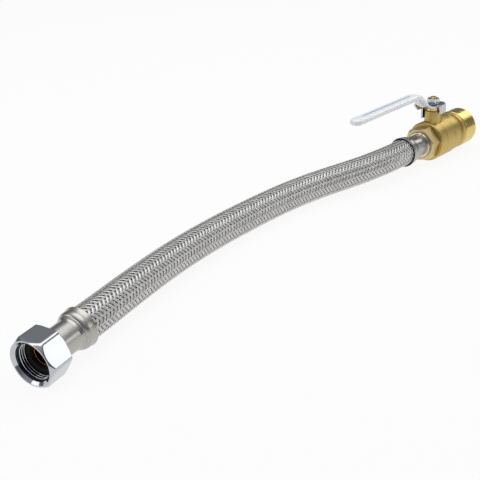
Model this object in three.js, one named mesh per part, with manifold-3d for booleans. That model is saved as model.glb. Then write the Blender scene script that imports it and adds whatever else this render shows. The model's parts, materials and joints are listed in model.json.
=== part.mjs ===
// Water heater connector: a chrome swivel nut, a stainless braided hose that lies bowed on a
// table, and a brass ball valve with a lever and a push-fit end.
// Millimetres, +Z up, table at z = 0, +X from the nut towards the push-fit end.
import * as THREE from 'three';
import { mergeVertices, toCreasedNormals } from 'three/addons/utils/BufferGeometryUtils.js';
import Module from 'manifold-3d';

const wasm = await Module();
wasm.setup();

// Fits and faceting
const GAP = 0.3;
const ROUND_SIDES = 32;
const SMALL_SIDES = 20;
const RING_SIDES = 8;
const BEND_STEPS = 4;
const TIP_STEPS = 8;
// Cutting shapes are drawn this many times larger than what they cut
const OVERSIZE = 2;
const CREASE = 0.5;

// Swivel nut, 3/4 inch female pipe thread
const NUT_ACROSS_FLATS = 32;
const NUT_LENGTH = 18.1;
const NUT_THREAD_RADIUS = 13.3;
const NUT_MOUTH_RADIUS = 15.2;
const NUT_RING_RADIUS = 16.1;
const NUT_BACK_WALL = 4.3;
const NUT_FRONT_CHAMFER = 3;
const NUT_REAR_CHAMFER = 0.6;
const CHAMFER_SLOPE = Math.tan(Math.PI / 6);
const NUT_WASHER_THICKNESS = 2.4;
const NUT_WASHER_HOLE_RADIUS = 8.2;

// Pipes that carry the hose at each end
const NIPPLE_RADIUS = 8.4;
const NIPPLE_WALL = 1.2;
const NIPPLE_FLANGE_THICKNESS = 1.8;
const NIPPLE_REACH = 8;
const NIPPLE_TIP_CHAMFER = 0.7;

// Ferrules crimped on the hose
const FERRULE_LENGTH = 28.5;
const FERRULE_WALL = 0.7;
const FERRULE_CUP_DEPTH = 7.9;
const FERRULE_CUP_CLEARANCE = 0.4;
const FERRULE_SLEEVE_RADIUS = 11;
const FERRULE_FLANGE_RADIUS = 12.2;
const FERRULE_FLANGE_THICKNESS = 1.2;
const FERRULE_STEP_RISE = 1.5;
const FERRULE_STEP_LENGTH = 1.8;

// Hose: rubber tube inside a stainless braid, 1 inch over the braid
const HOSE_RADIUS = 12.7;
const BRAID_THICKNESS = 1.1;
const HOSE_SIDES = 12;
const HOSE_STEPS = 18;
// Centre line from ferrule to ferrule, chosen by hand: a shallow bow that lies on the table
const HOSE_ROUTE = [
  [-231, -5.2, 16], [-218.9, -2.2, 16], [-204.8, 1.4, 16], [-180.9, 8, 15.8],
  [-156.4, 14.9, 15.2], [-131.4, 21.4, 14.5], [-106.1, 26.8, 13.9], [-80.6, 30.8, 13.5],
  [-55.3, 33.5, 13.3], [-30, 35.2, 13.2], [-4.7, 36.2, 13.2], [20.4, 36.1, 13.3],
  [44.8, 34.2, 13.6], [68.6, 30.4, 14.2], [91.2, 25.1, 15.2], [112.3, 19.3, 16.8],
  [132.8, 14.8, 18.6], [150.2, 13, 19.5], [172.2, 12.9, 19.6],
];
const NUT_FACE = [-269.85, -15.3];
const NUT_HEADING = THREE.MathUtils.degToRad(14.4);

// Ball valve, stations measured along its axis from the stem
const VALVE_PLACE = [217.2, 12.9];
const STEM_LEAN = THREE.MathUtils.degToRad(3.5);
const BODY_RADIUS = 19.6;
const BODY_SHOULDER_RADIUS = 18.9;
const BODY_NECK_RADIUS = 16.6;
const BODY_COLLAR_RADIUS = 17.9;
const BODY_SPIGOT_RADIUS = 16.3;
const BODY_EDGE = 0.6;
const BODY_STEP_STATION = 16;
const BODY_SHOULDER_STATION = 24;
const BODY_NECK_STATION = 25.6;
const BODY_COLLAR_STATION = 31.6;
const SPIGOT_STATION = 35.2;
const SPIGOT_END_STATION = 42;
const BODY_GROOVE_STATIONS = [-1.3, 13.5];
const BODY_GROOVE = 0.5;
const CAVITY_RADIUS = 15.3;
const CAVITY_END_STATION = 6;
const WATERWAY_RADIUS = 9.3;
const TUBE_STOP_STATION = 18;
const SEAL_POCKET_RADIUS = 14.9;
const SEAL_POCKET_DEPTH = 8;

// Hexagon end that closes the body on the hose side
const HEX_ACROSS_FLATS = 30.2;
const HEX_FIRST_CORNER = THREE.MathUtils.degToRad(48);
const HEX_END_STATION = -24;
const HEX_LENGTH = 12;
const HEX_FACE_RADIUS = 15.3;
const HEX_REAR_CHAMFER = 0.4;
const HEX_RECESS_DEPTH = 1;
const HEX_RECESS_CLEARANCE = 0.7;
const HEX_NECK_STATION = -6;
const INSERT_RADIUS = 10.6;
const INSERT_DEPTH = 5.2;
const INSERT_RING_SECTION = 0.85;
const CONNECTOR_SHOULDER = 2.5;

// Ball, seats and stem
const BALL_RADIUS = 14.3;
const BALL_BORE_RADIUS = 9;
const BALL_SLOT_WIDTH = 5.6;
const BALL_SLOT_DEPTH = 4;
const SEAT_BACK_STATION = 13;
const SEAT_HOLE_RADIUS = 9.6;
const SEAT_RADIUS = 13.6;
const SEAT_ARC_STEPS = 5;
const STEM_RADIUS = 4;
const STEM_FLANGE_RADIUS = 5.4;
const STEM_FLANGE_HEIGHT = 15.4;
const STEM_FLANGE_THICKNESS = 2;
const STEM_WASHER_THICKNESS = 1;
const STEM_TANG_LENGTH = 8;
const STEM_THREAD_RADIUS = 2.9;
const STEM_SLOT = 1.1;
const STEM_STAND = 1.3;

// Bonnet and gland above the body
const BONNET_BASE_RADIUS = 8.2;
const BONNET_TOP_RADIUS = 7.4;
const BONNET_TOP = 30;
const BONNET_EDGE = 0.5;
const GLAND_RADIUS = 5.7;
const GLAND_FLOOR = 22;
const PACKING_THICKNESS = 2.7;
const PACKING_NUT_HEAD_RADIUS = 6.4;
const PACKING_NUT_HEAD_HEIGHT = 2.9;
const PACKING_NUT_NOTCHES = 6;
const PACKING_NUT_NOTCH = 1.8;

// Lever, pressed from steel strip, and its vinyl grip
const LEVER_THICKNESS = 2.5;
const LEVER_CORNER = 1;
const LEVER_HUB_HALF_WIDTH = 7.2;
const LEVER_HUB_REACH = 11.5;
const LEVER_FOLD = -13;
const LEVER_TAPER_END = -21.5;
const LEVER_BEND = -31;
const LEVER_RISE = 15.5;
const LEVER_DROP = 1.2;
const LEVER_LENGTH = 129;
const LEVER_STRIP_HALF_WIDTH = 4.5;
const LEVER_BEND_RADIUS = 6;
const EAR_THICKNESS = 2;
const EAR_CLEARANCE = 0.2;
const LONG_EAR_REACH = 14.9;
const LONG_EAR_START = -5;
const LONG_EAR_END = 3;
const SHORT_EAR_REACH = 8.5;
const SHORT_EAR_START = -1.5;
const SHORT_EAR_END = 7;
const FLANGE_DEPTH = 4.5;
const FLANGE_TOE = -18;
const GRIP_WALL = 1.3;
const GRIP_START = -19.5;
const LOCK_WASHER_RADIUS = 5.6;
const LOCK_WASHER_THICKNESS = 0.9;
const LEVER_NUT_ACROSS_FLATS = 10.4;
const LEVER_NUT_HEIGHT = 4.2;

// Push-fit end
const CAP_RADIUS = 18.9;
const CAP_STATION = 35.5;
const CAP_LENGTH = 18.5;
const CAP_EDGE = 0.6;
const TUBE_RADIUS = 11.1;
const TUBE_CLEARANCE = 0.6;
const O_RING_SECTION = 1.5;
const GRAB_RING_THICKNESS = 0.6;
const GRAB_RING_TEETH = 20;
const GRAB_RING_TOOTH = 2;
// Shares of the tooth pitch
const TOOTH_SLIT = 0.15;
const TOOTH_FLANK = 0.1;
const COLLAR_SLEEVE_RADIUS = 12.6;
const COLLAR_NOSE_RADIUS = 13.8;
const COLLAR_NOSE_LENGTH = 3.2;
const COLLAR_STROKE = 2;
const COLLAR_STAND = 1.5;

// Values that follow from the sizes above
const NUT_FLOOR = NUT_LENGTH - NUT_BACK_WALL;
const NIPPLE_BORE_RADIUS = NIPPLE_RADIUS - NIPPLE_WALL;
const FLANGE_STATION = NUT_FLOOR - GAP - NIPPLE_FLANGE_THICKNESS;
const NUT_HOLE_RADIUS = NIPPLE_RADIUS + GAP;
const INLET_FERRULE_STATION = NUT_LENGTH + GAP;
const FERRULE_CUP_RADIUS = HOSE_RADIUS + FERRULE_CUP_CLEARANCE;
const FERRULE_RADIUS = FERRULE_CUP_RADIUS + FERRULE_WALL;
const FERRULE_BORE_RADIUS = NIPPLE_RADIUS + GAP;
const BRAID_INNER_RADIUS = HOSE_RADIUS - BRAID_THICKNESS;
const TUBE_OUTER_RADIUS = BRAID_INNER_RADIUS - GAP;
const TUBE_INNER_RADIUS = NIPPLE_RADIUS + GAP;
const HEX_REAR_STATION = HEX_END_STATION + HEX_LENGTH;
const HEX_FLOOR_STATION = HEX_END_STATION + HEX_RECESS_DEPTH;
const INSERT_SHOULDER_STATION = HEX_FLOOR_STATION + GAP;
const INSERT_END_STATION = INSERT_SHOULDER_STATION + INSERT_DEPTH;
const OUTLET_FERRULE_STATION = HEX_FLOOR_STATION - GAP;
const CONNECTOR_FLOOR_STATION = -SEAT_BACK_STATION - CONNECTOR_SHOULDER;
const SEAT_POCKET_RADIUS = SEAT_RADIUS + GAP;
const NECK_RADIUS = CAVITY_RADIUS - GAP;
const STEM_FLANGE_TOP = STEM_FLANGE_HEIGHT + STEM_FLANGE_THICKNESS;
const STEM_ROOF = STEM_FLANGE_TOP + STEM_WASHER_THICKNESS + 2 * GAP;
const STEM_HOLE_RADIUS = STEM_RADIUS + GAP;
const PACKING_TOP = GLAND_FLOOR + GAP + PACKING_THICKNESS;
const PACKING_NUT_HEAD = BONNET_TOP + GAP;
const PACKING_NUT_TOP = PACKING_NUT_HEAD + PACKING_NUT_HEAD_HEIGHT;
const HUB_UNDERSIDE = PACKING_NUT_TOP + GAP;
const HUB_TOP = HUB_UNDERSIDE + LEVER_THICKNESS;
const WASHER_BOTTOM = HUB_TOP + GAP;
const LEVER_NUT_BOTTOM = WASHER_BOTTOM + LOCK_WASHER_THICKNESS + GAP;
const STEM_END = LEVER_NUT_BOTTOM + LEVER_NUT_HEIGHT + STEM_STAND;
const EAR_INNER = BONNET_BASE_RADIUS + EAR_CLEARANCE;
const EAR_OUTER = EAR_INNER + EAR_THICKNESS;
const SOCKET_RADIUS = TUBE_RADIUS + GAP;
const SOCKET_CLEAR_RADIUS = TUBE_RADIUS + TUBE_CLEARANCE;
const CAP_BORE_RADIUS = BODY_SPIGOT_RADIUS + GAP;
const GRAB_RING_STATION = SPIGOT_END_STATION + GAP;
const CAP_POCKET_STATION = GRAB_RING_STATION + GRAB_RING_THICKNESS + GAP;
const CAP_END_STATION = CAP_STATION + CAP_LENGTH;
const COLLAR_NOSE_STATION = CAP_POCKET_STATION + COLLAR_STROKE;
const CAP_SHOULDER_STATION = COLLAR_NOSE_STATION + COLLAR_NOSE_LENGTH + GAP;

// Materials
const finish = (color, roughness, metalness) =>
  new THREE.MeshStandardMaterial({ color, roughness, metalness });
const chrome = () => finish(0xd4d7db, 0.12, 1);
const stainless = () => finish(0xa9a7a3, 0.34, 1);
const braidSteel = () => finish(0xb4b3af, 0.4, 1);
const brass = () => finish(0xb89a52, 0.3, 1);
const zincSteel = () => finish(0xb9bdc2, 0.25, 1);
const rubber = () => finish(0x17181a, 0.75, 0);
const seatWhite = () => finish(0xe9e8e2, 0.5, 0);
const vinyl = () => finish(0xe6ecec, 0.38, 0);
const plastic = () => finish(0x3c3f43, 0.5, 0);

// Leaves only positions, merges the shared corners and drops triangles that collapse
function weld(geometry) {
  const bare = geometry.clone();
  bare.deleteAttribute('normal');
  bare.deleteAttribute('uv');
  const merged = mergeVertices(bare, 1e-4);
  const corners = merged.index.array;
  const kept = [];
  for (let i = 0; i < corners.length; i += 3) {
    const [a, b, c] = corners.slice(i, i + 3);
    if (a !== b && b !== c && c !== a) kept.push(a, b, c);
  }
  merged.setIndex(kept);
  return merged;
}

function solid(geometry) {
  const merged = weld(geometry);
  return new wasm.Manifold(new wasm.Mesh({
    numProp: 3,
    vertProperties: new Float32Array(merged.attributes.position.array),
    triVerts: new Uint32Array(merged.index.array),
  }));
}

function fromSolid(body) {
  const mesh = body.getMesh();
  const geometry = new THREE.BufferGeometry();
  geometry.setAttribute('position', new THREE.BufferAttribute(mesh.vertProperties, 3));
  geometry.setIndex(new THREE.BufferAttribute(mesh.triVerts, 1));
  return geometry;
}

function piece(name, geometry, material) {
  const mesh = new THREE.Mesh(toCreasedNormals(weld(geometry), CREASE), material);
  mesh.name = name;
  return mesh;
}

// Turned about X: [station, radius] along the outside first, then back along the bore
function turned(profile, sides = ROUND_SIDES) {
  const points = profile.map(([station, radius]) => new THREE.Vector2(radius, station));
  if (profile[0][1] > 0) points.push(points[0].clone());
  return new THREE.LatheGeometry(points, sides).rotateZ(-Math.PI / 2);
}

// Turned about Z: [height, radius], in the same order
function turnedUpright(profile, sides = SMALL_SIDES) {
  return turned(profile, sides).rotateY(-Math.PI / 2);
}

function ringAround(station, ringRadius, sectionRadius) {
  return new THREE.TorusGeometry(ringRadius, sectionRadius, RING_SIDES, SMALL_SIDES)
    .rotateY(Math.PI / 2)
    .translate(station, 0, 0);
}

// A flat outline in the YZ plane, drawn out along X
function prismAlongX(shape, station, length) {
  const across = new THREE.Matrix4().makeBasis(
    new THREE.Vector3(0, 1, 0), new THREE.Vector3(0, 0, 1), new THREE.Vector3(1, 0, 0));
  return new THREE.ExtrudeGeometry(shape, { depth: length, bevelEnabled: false })
    .applyMatrix4(across)
    .translate(station, 0, 0);
}

// A side view in the XZ plane, drawn out along Y from yLow to yHigh
function plateAlongY(points, yLow, yHigh) {
  const across = new THREE.Matrix4().makeBasis(
    new THREE.Vector3(1, 0, 0), new THREE.Vector3(0, 0, 1), new THREE.Vector3(0, -1, 0));
  const shape = new THREE.Shape(points.map(([x, z]) => new THREE.Vector2(x, z)));
  return new THREE.ExtrudeGeometry(shape, { depth: yHigh - yLow, bevelEnabled: false })
    .applyMatrix4(across)
    .translate(0, yHigh, 0);
}

function cornerRadius(acrossFlats) {
  return acrossFlats / 2 / Math.cos(Math.PI / 6);
}

function hexagon(acrossFlats, firstCorner) {
  const corner = cornerRadius(acrossFlats);
  const points = [0, 1, 2, 3, 4, 5].map((k) => {
    const angle = firstCorner + (k * Math.PI) / 3;
    return new THREE.Vector2(corner * Math.cos(angle), corner * Math.sin(angle));
  });
  return new THREE.Shape(points);
}

// Nut end, stations measured along the nut's axis from its open face
function swivelNut() {
  const corner = cornerRadius(NUT_ACROSS_FLATS);
  const prism = solid(prismAlongX(hexagon(NUT_ACROSS_FLATS, 0), 0, NUT_LENGTH));
  const rounds = solid(turned([
    [0, NUT_RING_RADIUS],
    [NUT_FRONT_CHAMFER, corner],
    [NUT_LENGTH - NUT_REAR_CHAMFER, corner],
    [NUT_LENGTH, corner - NUT_REAR_CHAMFER / CHAMFER_SLOPE],
    [NUT_LENGTH, NUT_HOLE_RADIUS],
    [NUT_FLOOR, NUT_HOLE_RADIUS],
    [NUT_FLOOR, NUT_THREAD_RADIUS],
    [NUT_MOUTH_RADIUS - NUT_THREAD_RADIUS, NUT_THREAD_RADIUS],
    [0, NUT_MOUTH_RADIUS],
  ]));
  return piece('swivel_nut', fromSolid(prism.intersect(rounds)), chrome());
}

function sealingWasher() {
  const back = FLANGE_STATION - GAP;
  const front = back - NUT_WASHER_THICKNESS;
  const rim = NUT_THREAD_RADIUS - GAP;
  return piece('sealing_washer', turned([
    [front, rim], [back, rim], [back, NUT_WASHER_HOLE_RADIUS], [front, NUT_WASHER_HOLE_RADIUS],
  ]), rubber());
}

function inletTailpiece() {
  const rim = NUT_THREAD_RADIUS - 2 * GAP;
  const tip = INLET_FERRULE_STATION + FERRULE_LENGTH + NIPPLE_REACH;
  return piece('inlet_tailpiece', turned([
    [FLANGE_STATION, rim],
    [NUT_FLOOR - GAP, rim],
    [NUT_FLOOR - GAP, NIPPLE_RADIUS],
    [tip - NIPPLE_TIP_CHAMFER, NIPPLE_RADIUS],
    [tip, NIPPLE_RADIUS - NIPPLE_TIP_CHAMFER],
    [tip, NIPPLE_BORE_RADIUS],
    [FLANGE_STATION, NIPPLE_BORE_RADIUS],
  ]), brass());
}

// The ferrule is drawn from its flange, by the fitting, to the open cup that grips the hose
function ferrule(name) {
  const cupFloor = FERRULE_LENGTH - FERRULE_CUP_DEPTH;
  const step = cupFloor - FERRULE_STEP_LENGTH;
  const stepRadius = FERRULE_SLEEVE_RADIUS + FERRULE_STEP_RISE;
  return piece(name, turned([
    [0, FERRULE_FLANGE_RADIUS],
    [FERRULE_FLANGE_THICKNESS, FERRULE_FLANGE_RADIUS],
    [FERRULE_FLANGE_THICKNESS, FERRULE_SLEEVE_RADIUS],
    [step - FERRULE_STEP_RISE / 2, FERRULE_SLEEVE_RADIUS],
    [step, stepRadius],
    [cupFloor - FERRULE_WALL, stepRadius],
    [cupFloor, FERRULE_RADIUS - FERRULE_WALL / 2],
    [cupFloor + FERRULE_WALL, FERRULE_RADIUS],
    [FERRULE_LENGTH, FERRULE_RADIUS],
    [FERRULE_LENGTH, FERRULE_CUP_RADIUS],
    [cupFloor + FERRULE_WALL, FERRULE_CUP_RADIUS],
    [cupFloor + FERRULE_WALL, FERRULE_BORE_RADIUS],
    [0, FERRULE_BORE_RADIUS],
  ]), stainless());
}

// Hose layers, drawn along the route from cup to cup; the bore's flats touch the inner radius
function hoseLayer(name, outer, inner, material) {
  const route = new THREE.CatmullRomCurve3(HOSE_ROUTE.map((p) => new THREE.Vector3(...p)));
  const circle = (radius) => Array.from({ length: HOSE_SIDES }, (_, k) => {
    const angle = (2 * Math.PI * (k + 0.5)) / HOSE_SIDES;
    return new THREE.Vector2(radius * Math.cos(angle), radius * Math.sin(angle));
  });
  const section = new THREE.Shape(circle(outer));
  section.holes.push(new THREE.Path(circle(inner / Math.cos(Math.PI / HOSE_SIDES))));
  const tube = new THREE.ExtrudeGeometry(section, {
    steps: HOSE_STEPS, extrudePath: route, bevelEnabled: false,
  });
  return piece(name, tube, material);
}

// Valve, stations along its axis from the stem, heights above its axis
function outletInsert() {
  const tip = OUTLET_FERRULE_STATION - FERRULE_LENGTH - NIPPLE_REACH;
  return piece('outlet_insert', turned([
    [tip, NIPPLE_RADIUS - NIPPLE_TIP_CHAMFER],
    [tip + NIPPLE_TIP_CHAMFER, NIPPLE_RADIUS],
    [INSERT_SHOULDER_STATION, NIPPLE_RADIUS],
    [INSERT_SHOULDER_STATION, INSERT_RADIUS],
    [INSERT_END_STATION, INSERT_RADIUS],
    [INSERT_END_STATION, NIPPLE_BORE_RADIUS],
    [tip, NIPPLE_BORE_RADIUS],
  ]), brass());
}

function insertORing() {
  const station = (INSERT_END_STATION + CONNECTOR_FLOOR_STATION) / 2;
  const ring = ringAround(station, INSERT_RADIUS - INSERT_RING_SECTION, INSERT_RING_SECTION);
  return piece('insert_o_ring', ring, rubber());
}

function endConnector() {
  const corner = cornerRadius(HEX_ACROSS_FLATS);
  const chamfer = (corner - HEX_FACE_RADIUS) * CHAMFER_SLOPE;
  const recess = FERRULE_FLANGE_RADIUS + HEX_RECESS_CLEARANCE;
  const hexEnd = HEX_NECK_STATION - HEX_END_STATION;
  const prism = solid(prismAlongX(hexagon(HEX_ACROSS_FLATS, HEX_FIRST_CORNER), HEX_END_STATION, hexEnd));
  const rounds = solid(turned([
    [HEX_END_STATION, HEX_FACE_RADIUS],
    [HEX_END_STATION + chamfer, corner],
    [HEX_REAR_STATION - HEX_REAR_CHAMFER, corner],
    [HEX_REAR_STATION, corner - HEX_REAR_CHAMFER / CHAMFER_SLOPE],
    [HEX_REAR_STATION, NECK_RADIUS],
    [HEX_NECK_STATION, NECK_RADIUS],
    [HEX_NECK_STATION, SEAT_POCKET_RADIUS],
    [-SEAT_BACK_STATION, SEAT_POCKET_RADIUS],
    [-SEAT_BACK_STATION, WATERWAY_RADIUS],
    [CONNECTOR_FLOOR_STATION, WATERWAY_RADIUS],
    [CONNECTOR_FLOOR_STATION, INSERT_RADIUS + GAP],
    [HEX_FLOOR_STATION, INSERT_RADIUS + GAP],
    [HEX_FLOOR_STATION, recess],
    [HEX_END_STATION, recess],
  ]));
  return piece('end_connector', fromSolid(prism.intersect(rounds)), brass());
}

function valveBody() {
  const face = HEX_REAR_STATION + GAP;
  const grooves = BODY_GROOVE_STATIONS.flatMap((station) => [
    [station - BODY_GROOVE, BODY_RADIUS],
    [station, BODY_RADIUS - BODY_GROOVE],
    [station + BODY_GROOVE, BODY_RADIUS],
  ]);
  const pocketFloor = SPIGOT_END_STATION - SEAL_POCKET_DEPTH;
  const barrel = solid(turned([
    [face, BODY_RADIUS - BODY_EDGE],
    [face + BODY_EDGE, BODY_RADIUS],
    ...grooves,
    [BODY_STEP_STATION, BODY_RADIUS],
    [BODY_STEP_STATION + BODY_EDGE, BODY_SHOULDER_RADIUS],
    [BODY_SHOULDER_STATION, BODY_SHOULDER_RADIUS],
    [BODY_NECK_STATION, BODY_NECK_RADIUS],
    [BODY_COLLAR_STATION - BODY_EDGE, BODY_NECK_RADIUS],
    [BODY_COLLAR_STATION, BODY_COLLAR_RADIUS],
    [SPIGOT_STATION, BODY_COLLAR_RADIUS],
    [SPIGOT_STATION, BODY_SPIGOT_RADIUS],
    [SPIGOT_END_STATION, BODY_SPIGOT_RADIUS],
    [SPIGOT_END_STATION, SEAL_POCKET_RADIUS],
    [pocketFloor, SEAL_POCKET_RADIUS],
    [pocketFloor, SOCKET_RADIUS],
    [TUBE_STOP_STATION, SOCKET_RADIUS],
    [TUBE_STOP_STATION, WATERWAY_RADIUS],
    [SEAT_BACK_STATION, WATERWAY_RADIUS],
    [SEAT_BACK_STATION, SEAT_POCKET_RADIUS],
    [CAVITY_END_STATION, SEAT_POCKET_RADIUS],
    [CAVITY_END_STATION, CAVITY_RADIUS],
    [face, CAVITY_RADIUS],
  ]));
  const bonnet = solid(turnedUpright([
    [CAVITY_RADIUS + BODY_EDGE, 0],
    [CAVITY_RADIUS + BODY_EDGE, BONNET_BASE_RADIUS],
    [BODY_RADIUS, BONNET_BASE_RADIUS],
    [BONNET_TOP - BONNET_EDGE, BONNET_TOP_RADIUS],
    [BONNET_TOP, BONNET_TOP_RADIUS - BONNET_EDGE],
    [BONNET_TOP, 0],
  ]));
  const bore = solid(turnedUpright([
    [0, 0],
    [0, STEM_FLANGE_RADIUS + GAP],
    [STEM_ROOF, STEM_FLANGE_RADIUS + GAP],
    [STEM_ROOF, STEM_HOLE_RADIUS],
    [GLAND_FLOOR, STEM_HOLE_RADIUS],
    [GLAND_FLOOR, GLAND_RADIUS],
    [OVERSIZE * BONNET_TOP, GLAND_RADIUS],
    [OVERSIZE * BONNET_TOP, 0],
  ]));
  return piece('valve_body', fromSolid(barrel.add(bonnet).subtract(bore)), brass());
}

function ball() {
  const sphere = solid(new THREE.SphereGeometry(BALL_RADIUS, SMALL_SIDES, SMALL_SIDES / 2));
  const bore = solid(turned([
    [-OVERSIZE * BALL_RADIUS, 0],
    [-OVERSIZE * BALL_RADIUS, BALL_BORE_RADIUS],
    [OVERSIZE * BALL_RADIUS, BALL_BORE_RADIUS],
    [OVERSIZE * BALL_RADIUS, 0],
  ]));
  const slot = solid(new THREE.BoxGeometry(BALL_SLOT_WIDTH, OVERSIZE * BALL_RADIUS, 2 * BALL_SLOT_DEPTH)
    .translate(0, 0, BALL_RADIUS));
  return piece('ball', fromSolid(sphere.subtract(bore).subtract(slot)), chrome());
}

// The seat lies against the ball on the push-fit side, and turned half round on the hose side
function seat(name) {
  const bearing = BALL_RADIUS + GAP;
  const arc = Array.from({ length: SEAT_ARC_STEPS + 1 }, (_, k) => {
    const radius = SEAT_HOLE_RADIUS + ((SEAT_RADIUS - SEAT_HOLE_RADIUS) * k) / SEAT_ARC_STEPS;
    return [Math.sqrt(bearing ** 2 - radius ** 2), radius];
  });
  const back = SEAT_BACK_STATION - GAP;
  return piece(name, turned([...arc, [back, SEAT_RADIUS], [back, SEAT_HOLE_RADIUS]]), seatWhite());
}

function stem() {
  const tangWidth = BALL_SLOT_WIDTH - 2 * GAP;
  const tangFoot = BALL_RADIUS - BALL_SLOT_DEPTH + GAP;
  const tangHeight = STEM_FLANGE_HEIGHT + STEM_FLANGE_THICKNESS / 2 - tangFoot;
  const shaft = solid(turnedUpright([
    [STEM_FLANGE_HEIGHT, 0],
    [STEM_FLANGE_HEIGHT, STEM_FLANGE_RADIUS],
    [STEM_FLANGE_TOP, STEM_FLANGE_RADIUS],
    [STEM_FLANGE_TOP, STEM_RADIUS],
    [HUB_TOP, STEM_RADIUS],
    [HUB_TOP, STEM_THREAD_RADIUS],
    [STEM_END, STEM_THREAD_RADIUS],
    [STEM_END, 0],
  ]));
  const tang = solid(new THREE.BoxGeometry(tangWidth, STEM_TANG_LENGTH, tangHeight)
    .translate(0, 0, tangFoot + tangHeight / 2));
  const slot = solid(new THREE.BoxGeometry(STEM_SLOT, 2 * OVERSIZE * STEM_THREAD_RADIUS, 2 * STEM_SLOT)
    .translate(0, 0, STEM_END));
  return piece('stem', fromSolid(shaft.add(tang).subtract(slot)), brass());
}

function flatRing(name, bottom, thickness, outer, inner, material) {
  return piece(name, turnedUpright([
    [bottom, inner], [bottom, outer], [bottom + thickness, outer], [bottom + thickness, inner],
  ]), material);
}

function packingNut() {
  const nut = solid(turnedUpright([
    [PACKING_TOP + GAP, STEM_HOLE_RADIUS],
    [PACKING_TOP + GAP, GLAND_RADIUS - GAP],
    [PACKING_NUT_HEAD, GLAND_RADIUS - GAP],
    [PACKING_NUT_HEAD, PACKING_NUT_HEAD_RADIUS],
    [PACKING_NUT_TOP, PACKING_NUT_HEAD_RADIUS],
    [PACKING_NUT_TOP, STEM_HOLE_RADIUS],
  ]));
  const notches = Array.from({ length: PACKING_NUT_NOTCHES }, (_, k) =>
    solid(new THREE.BoxGeometry(PACKING_NUT_HEAD_RADIUS, PACKING_NUT_NOTCH, PACKING_NUT_HEAD_HEIGHT)
      .translate(PACKING_NUT_HEAD_RADIUS + PACKING_NUT_NOTCH / 2, 0, PACKING_NUT_TOP)
      .rotateZ((k * 2 * Math.PI) / PACKING_NUT_NOTCHES)));
  const cut = notches.reduce((body, notch) => body.subtract(notch), nut);
  return piece('packing_nut', fromSolid(cut), brass());
}

// Centre line of the strip in side view, with its bends rounded: [x, z]
function leverLine(endX) {
  const mid = (HUB_TOP + HUB_UNDERSIDE) / 2;
  const corners = [
    [LEVER_HUB_REACH, mid],
    [LEVER_FOLD, mid],
    [LEVER_BEND, mid + LEVER_RISE],
    [endX, mid + LEVER_RISE - LEVER_DROP],
  ].map(([x, z]) => new THREE.Vector2(x, z));
  const line = [corners[0]];
  for (let k = 1; k < corners.length - 1; k += 1) {
    const toward = (end) => corners[k].clone().add(
      end.clone().sub(corners[k]).setLength(LEVER_BEND_RADIUS));
    const bend = new THREE.QuadraticBezierCurve(
      toward(corners[k - 1]), corners[k], toward(corners[k + 1]));
    line.push(...bend.getPoints(BEND_STEPS));
  }
  line.push(corners[corners.length - 1]);
  return line;
}

// A band of the given thickness along a line, as a closed outline
function band(line, thickness) {
  const side = (sign) => line.map((point, k) => {
    const before = line[Math.max(k - 1, 0)];
    const after = line[Math.min(k + 1, line.length - 1)];
    const along = after.clone().sub(before).normalize();
    return [point.x - (sign * along.y * thickness) / 2, point.y + (sign * along.x * thickness) / 2];
  });
  return [...side(1), ...side(-1).reverse()];
}

function stripOutline(halfWidth, tip, grow) {
  const outline = new THREE.Shape();
  const hub = LEVER_HUB_HALF_WIDTH;
  const ear = EAR_OUTER;
  outline.moveTo(LEVER_HUB_REACH - LEVER_CORNER, -hub);
  outline.lineTo(LEVER_HUB_REACH, -hub + LEVER_CORNER);
  outline.lineTo(LEVER_HUB_REACH, hub - LEVER_CORNER);
  outline.lineTo(LEVER_HUB_REACH - LEVER_CORNER, hub);
  outline.lineTo(LONG_EAR_END, hub);
  outline.lineTo(LONG_EAR_END, ear);
  outline.lineTo(LEVER_FOLD, ear);
  outline.lineTo(LEVER_TAPER_END - grow, halfWidth);
  outline.lineTo(tip + halfWidth, halfWidth);
  outline.absarc(tip + halfWidth, 0, halfWidth, Math.PI / 2, (3 * Math.PI) / 2, false);
  outline.lineTo(LEVER_TAPER_END - grow, -halfWidth);
  outline.lineTo(LEVER_FOLD, -hub);
  outline.lineTo(SHORT_EAR_START, -hub);
  outline.lineTo(SHORT_EAR_START, -ear);
  outline.lineTo(SHORT_EAR_END, -ear);
  outline.lineTo(SHORT_EAR_END, -hub);
  return outline;
}

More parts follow.
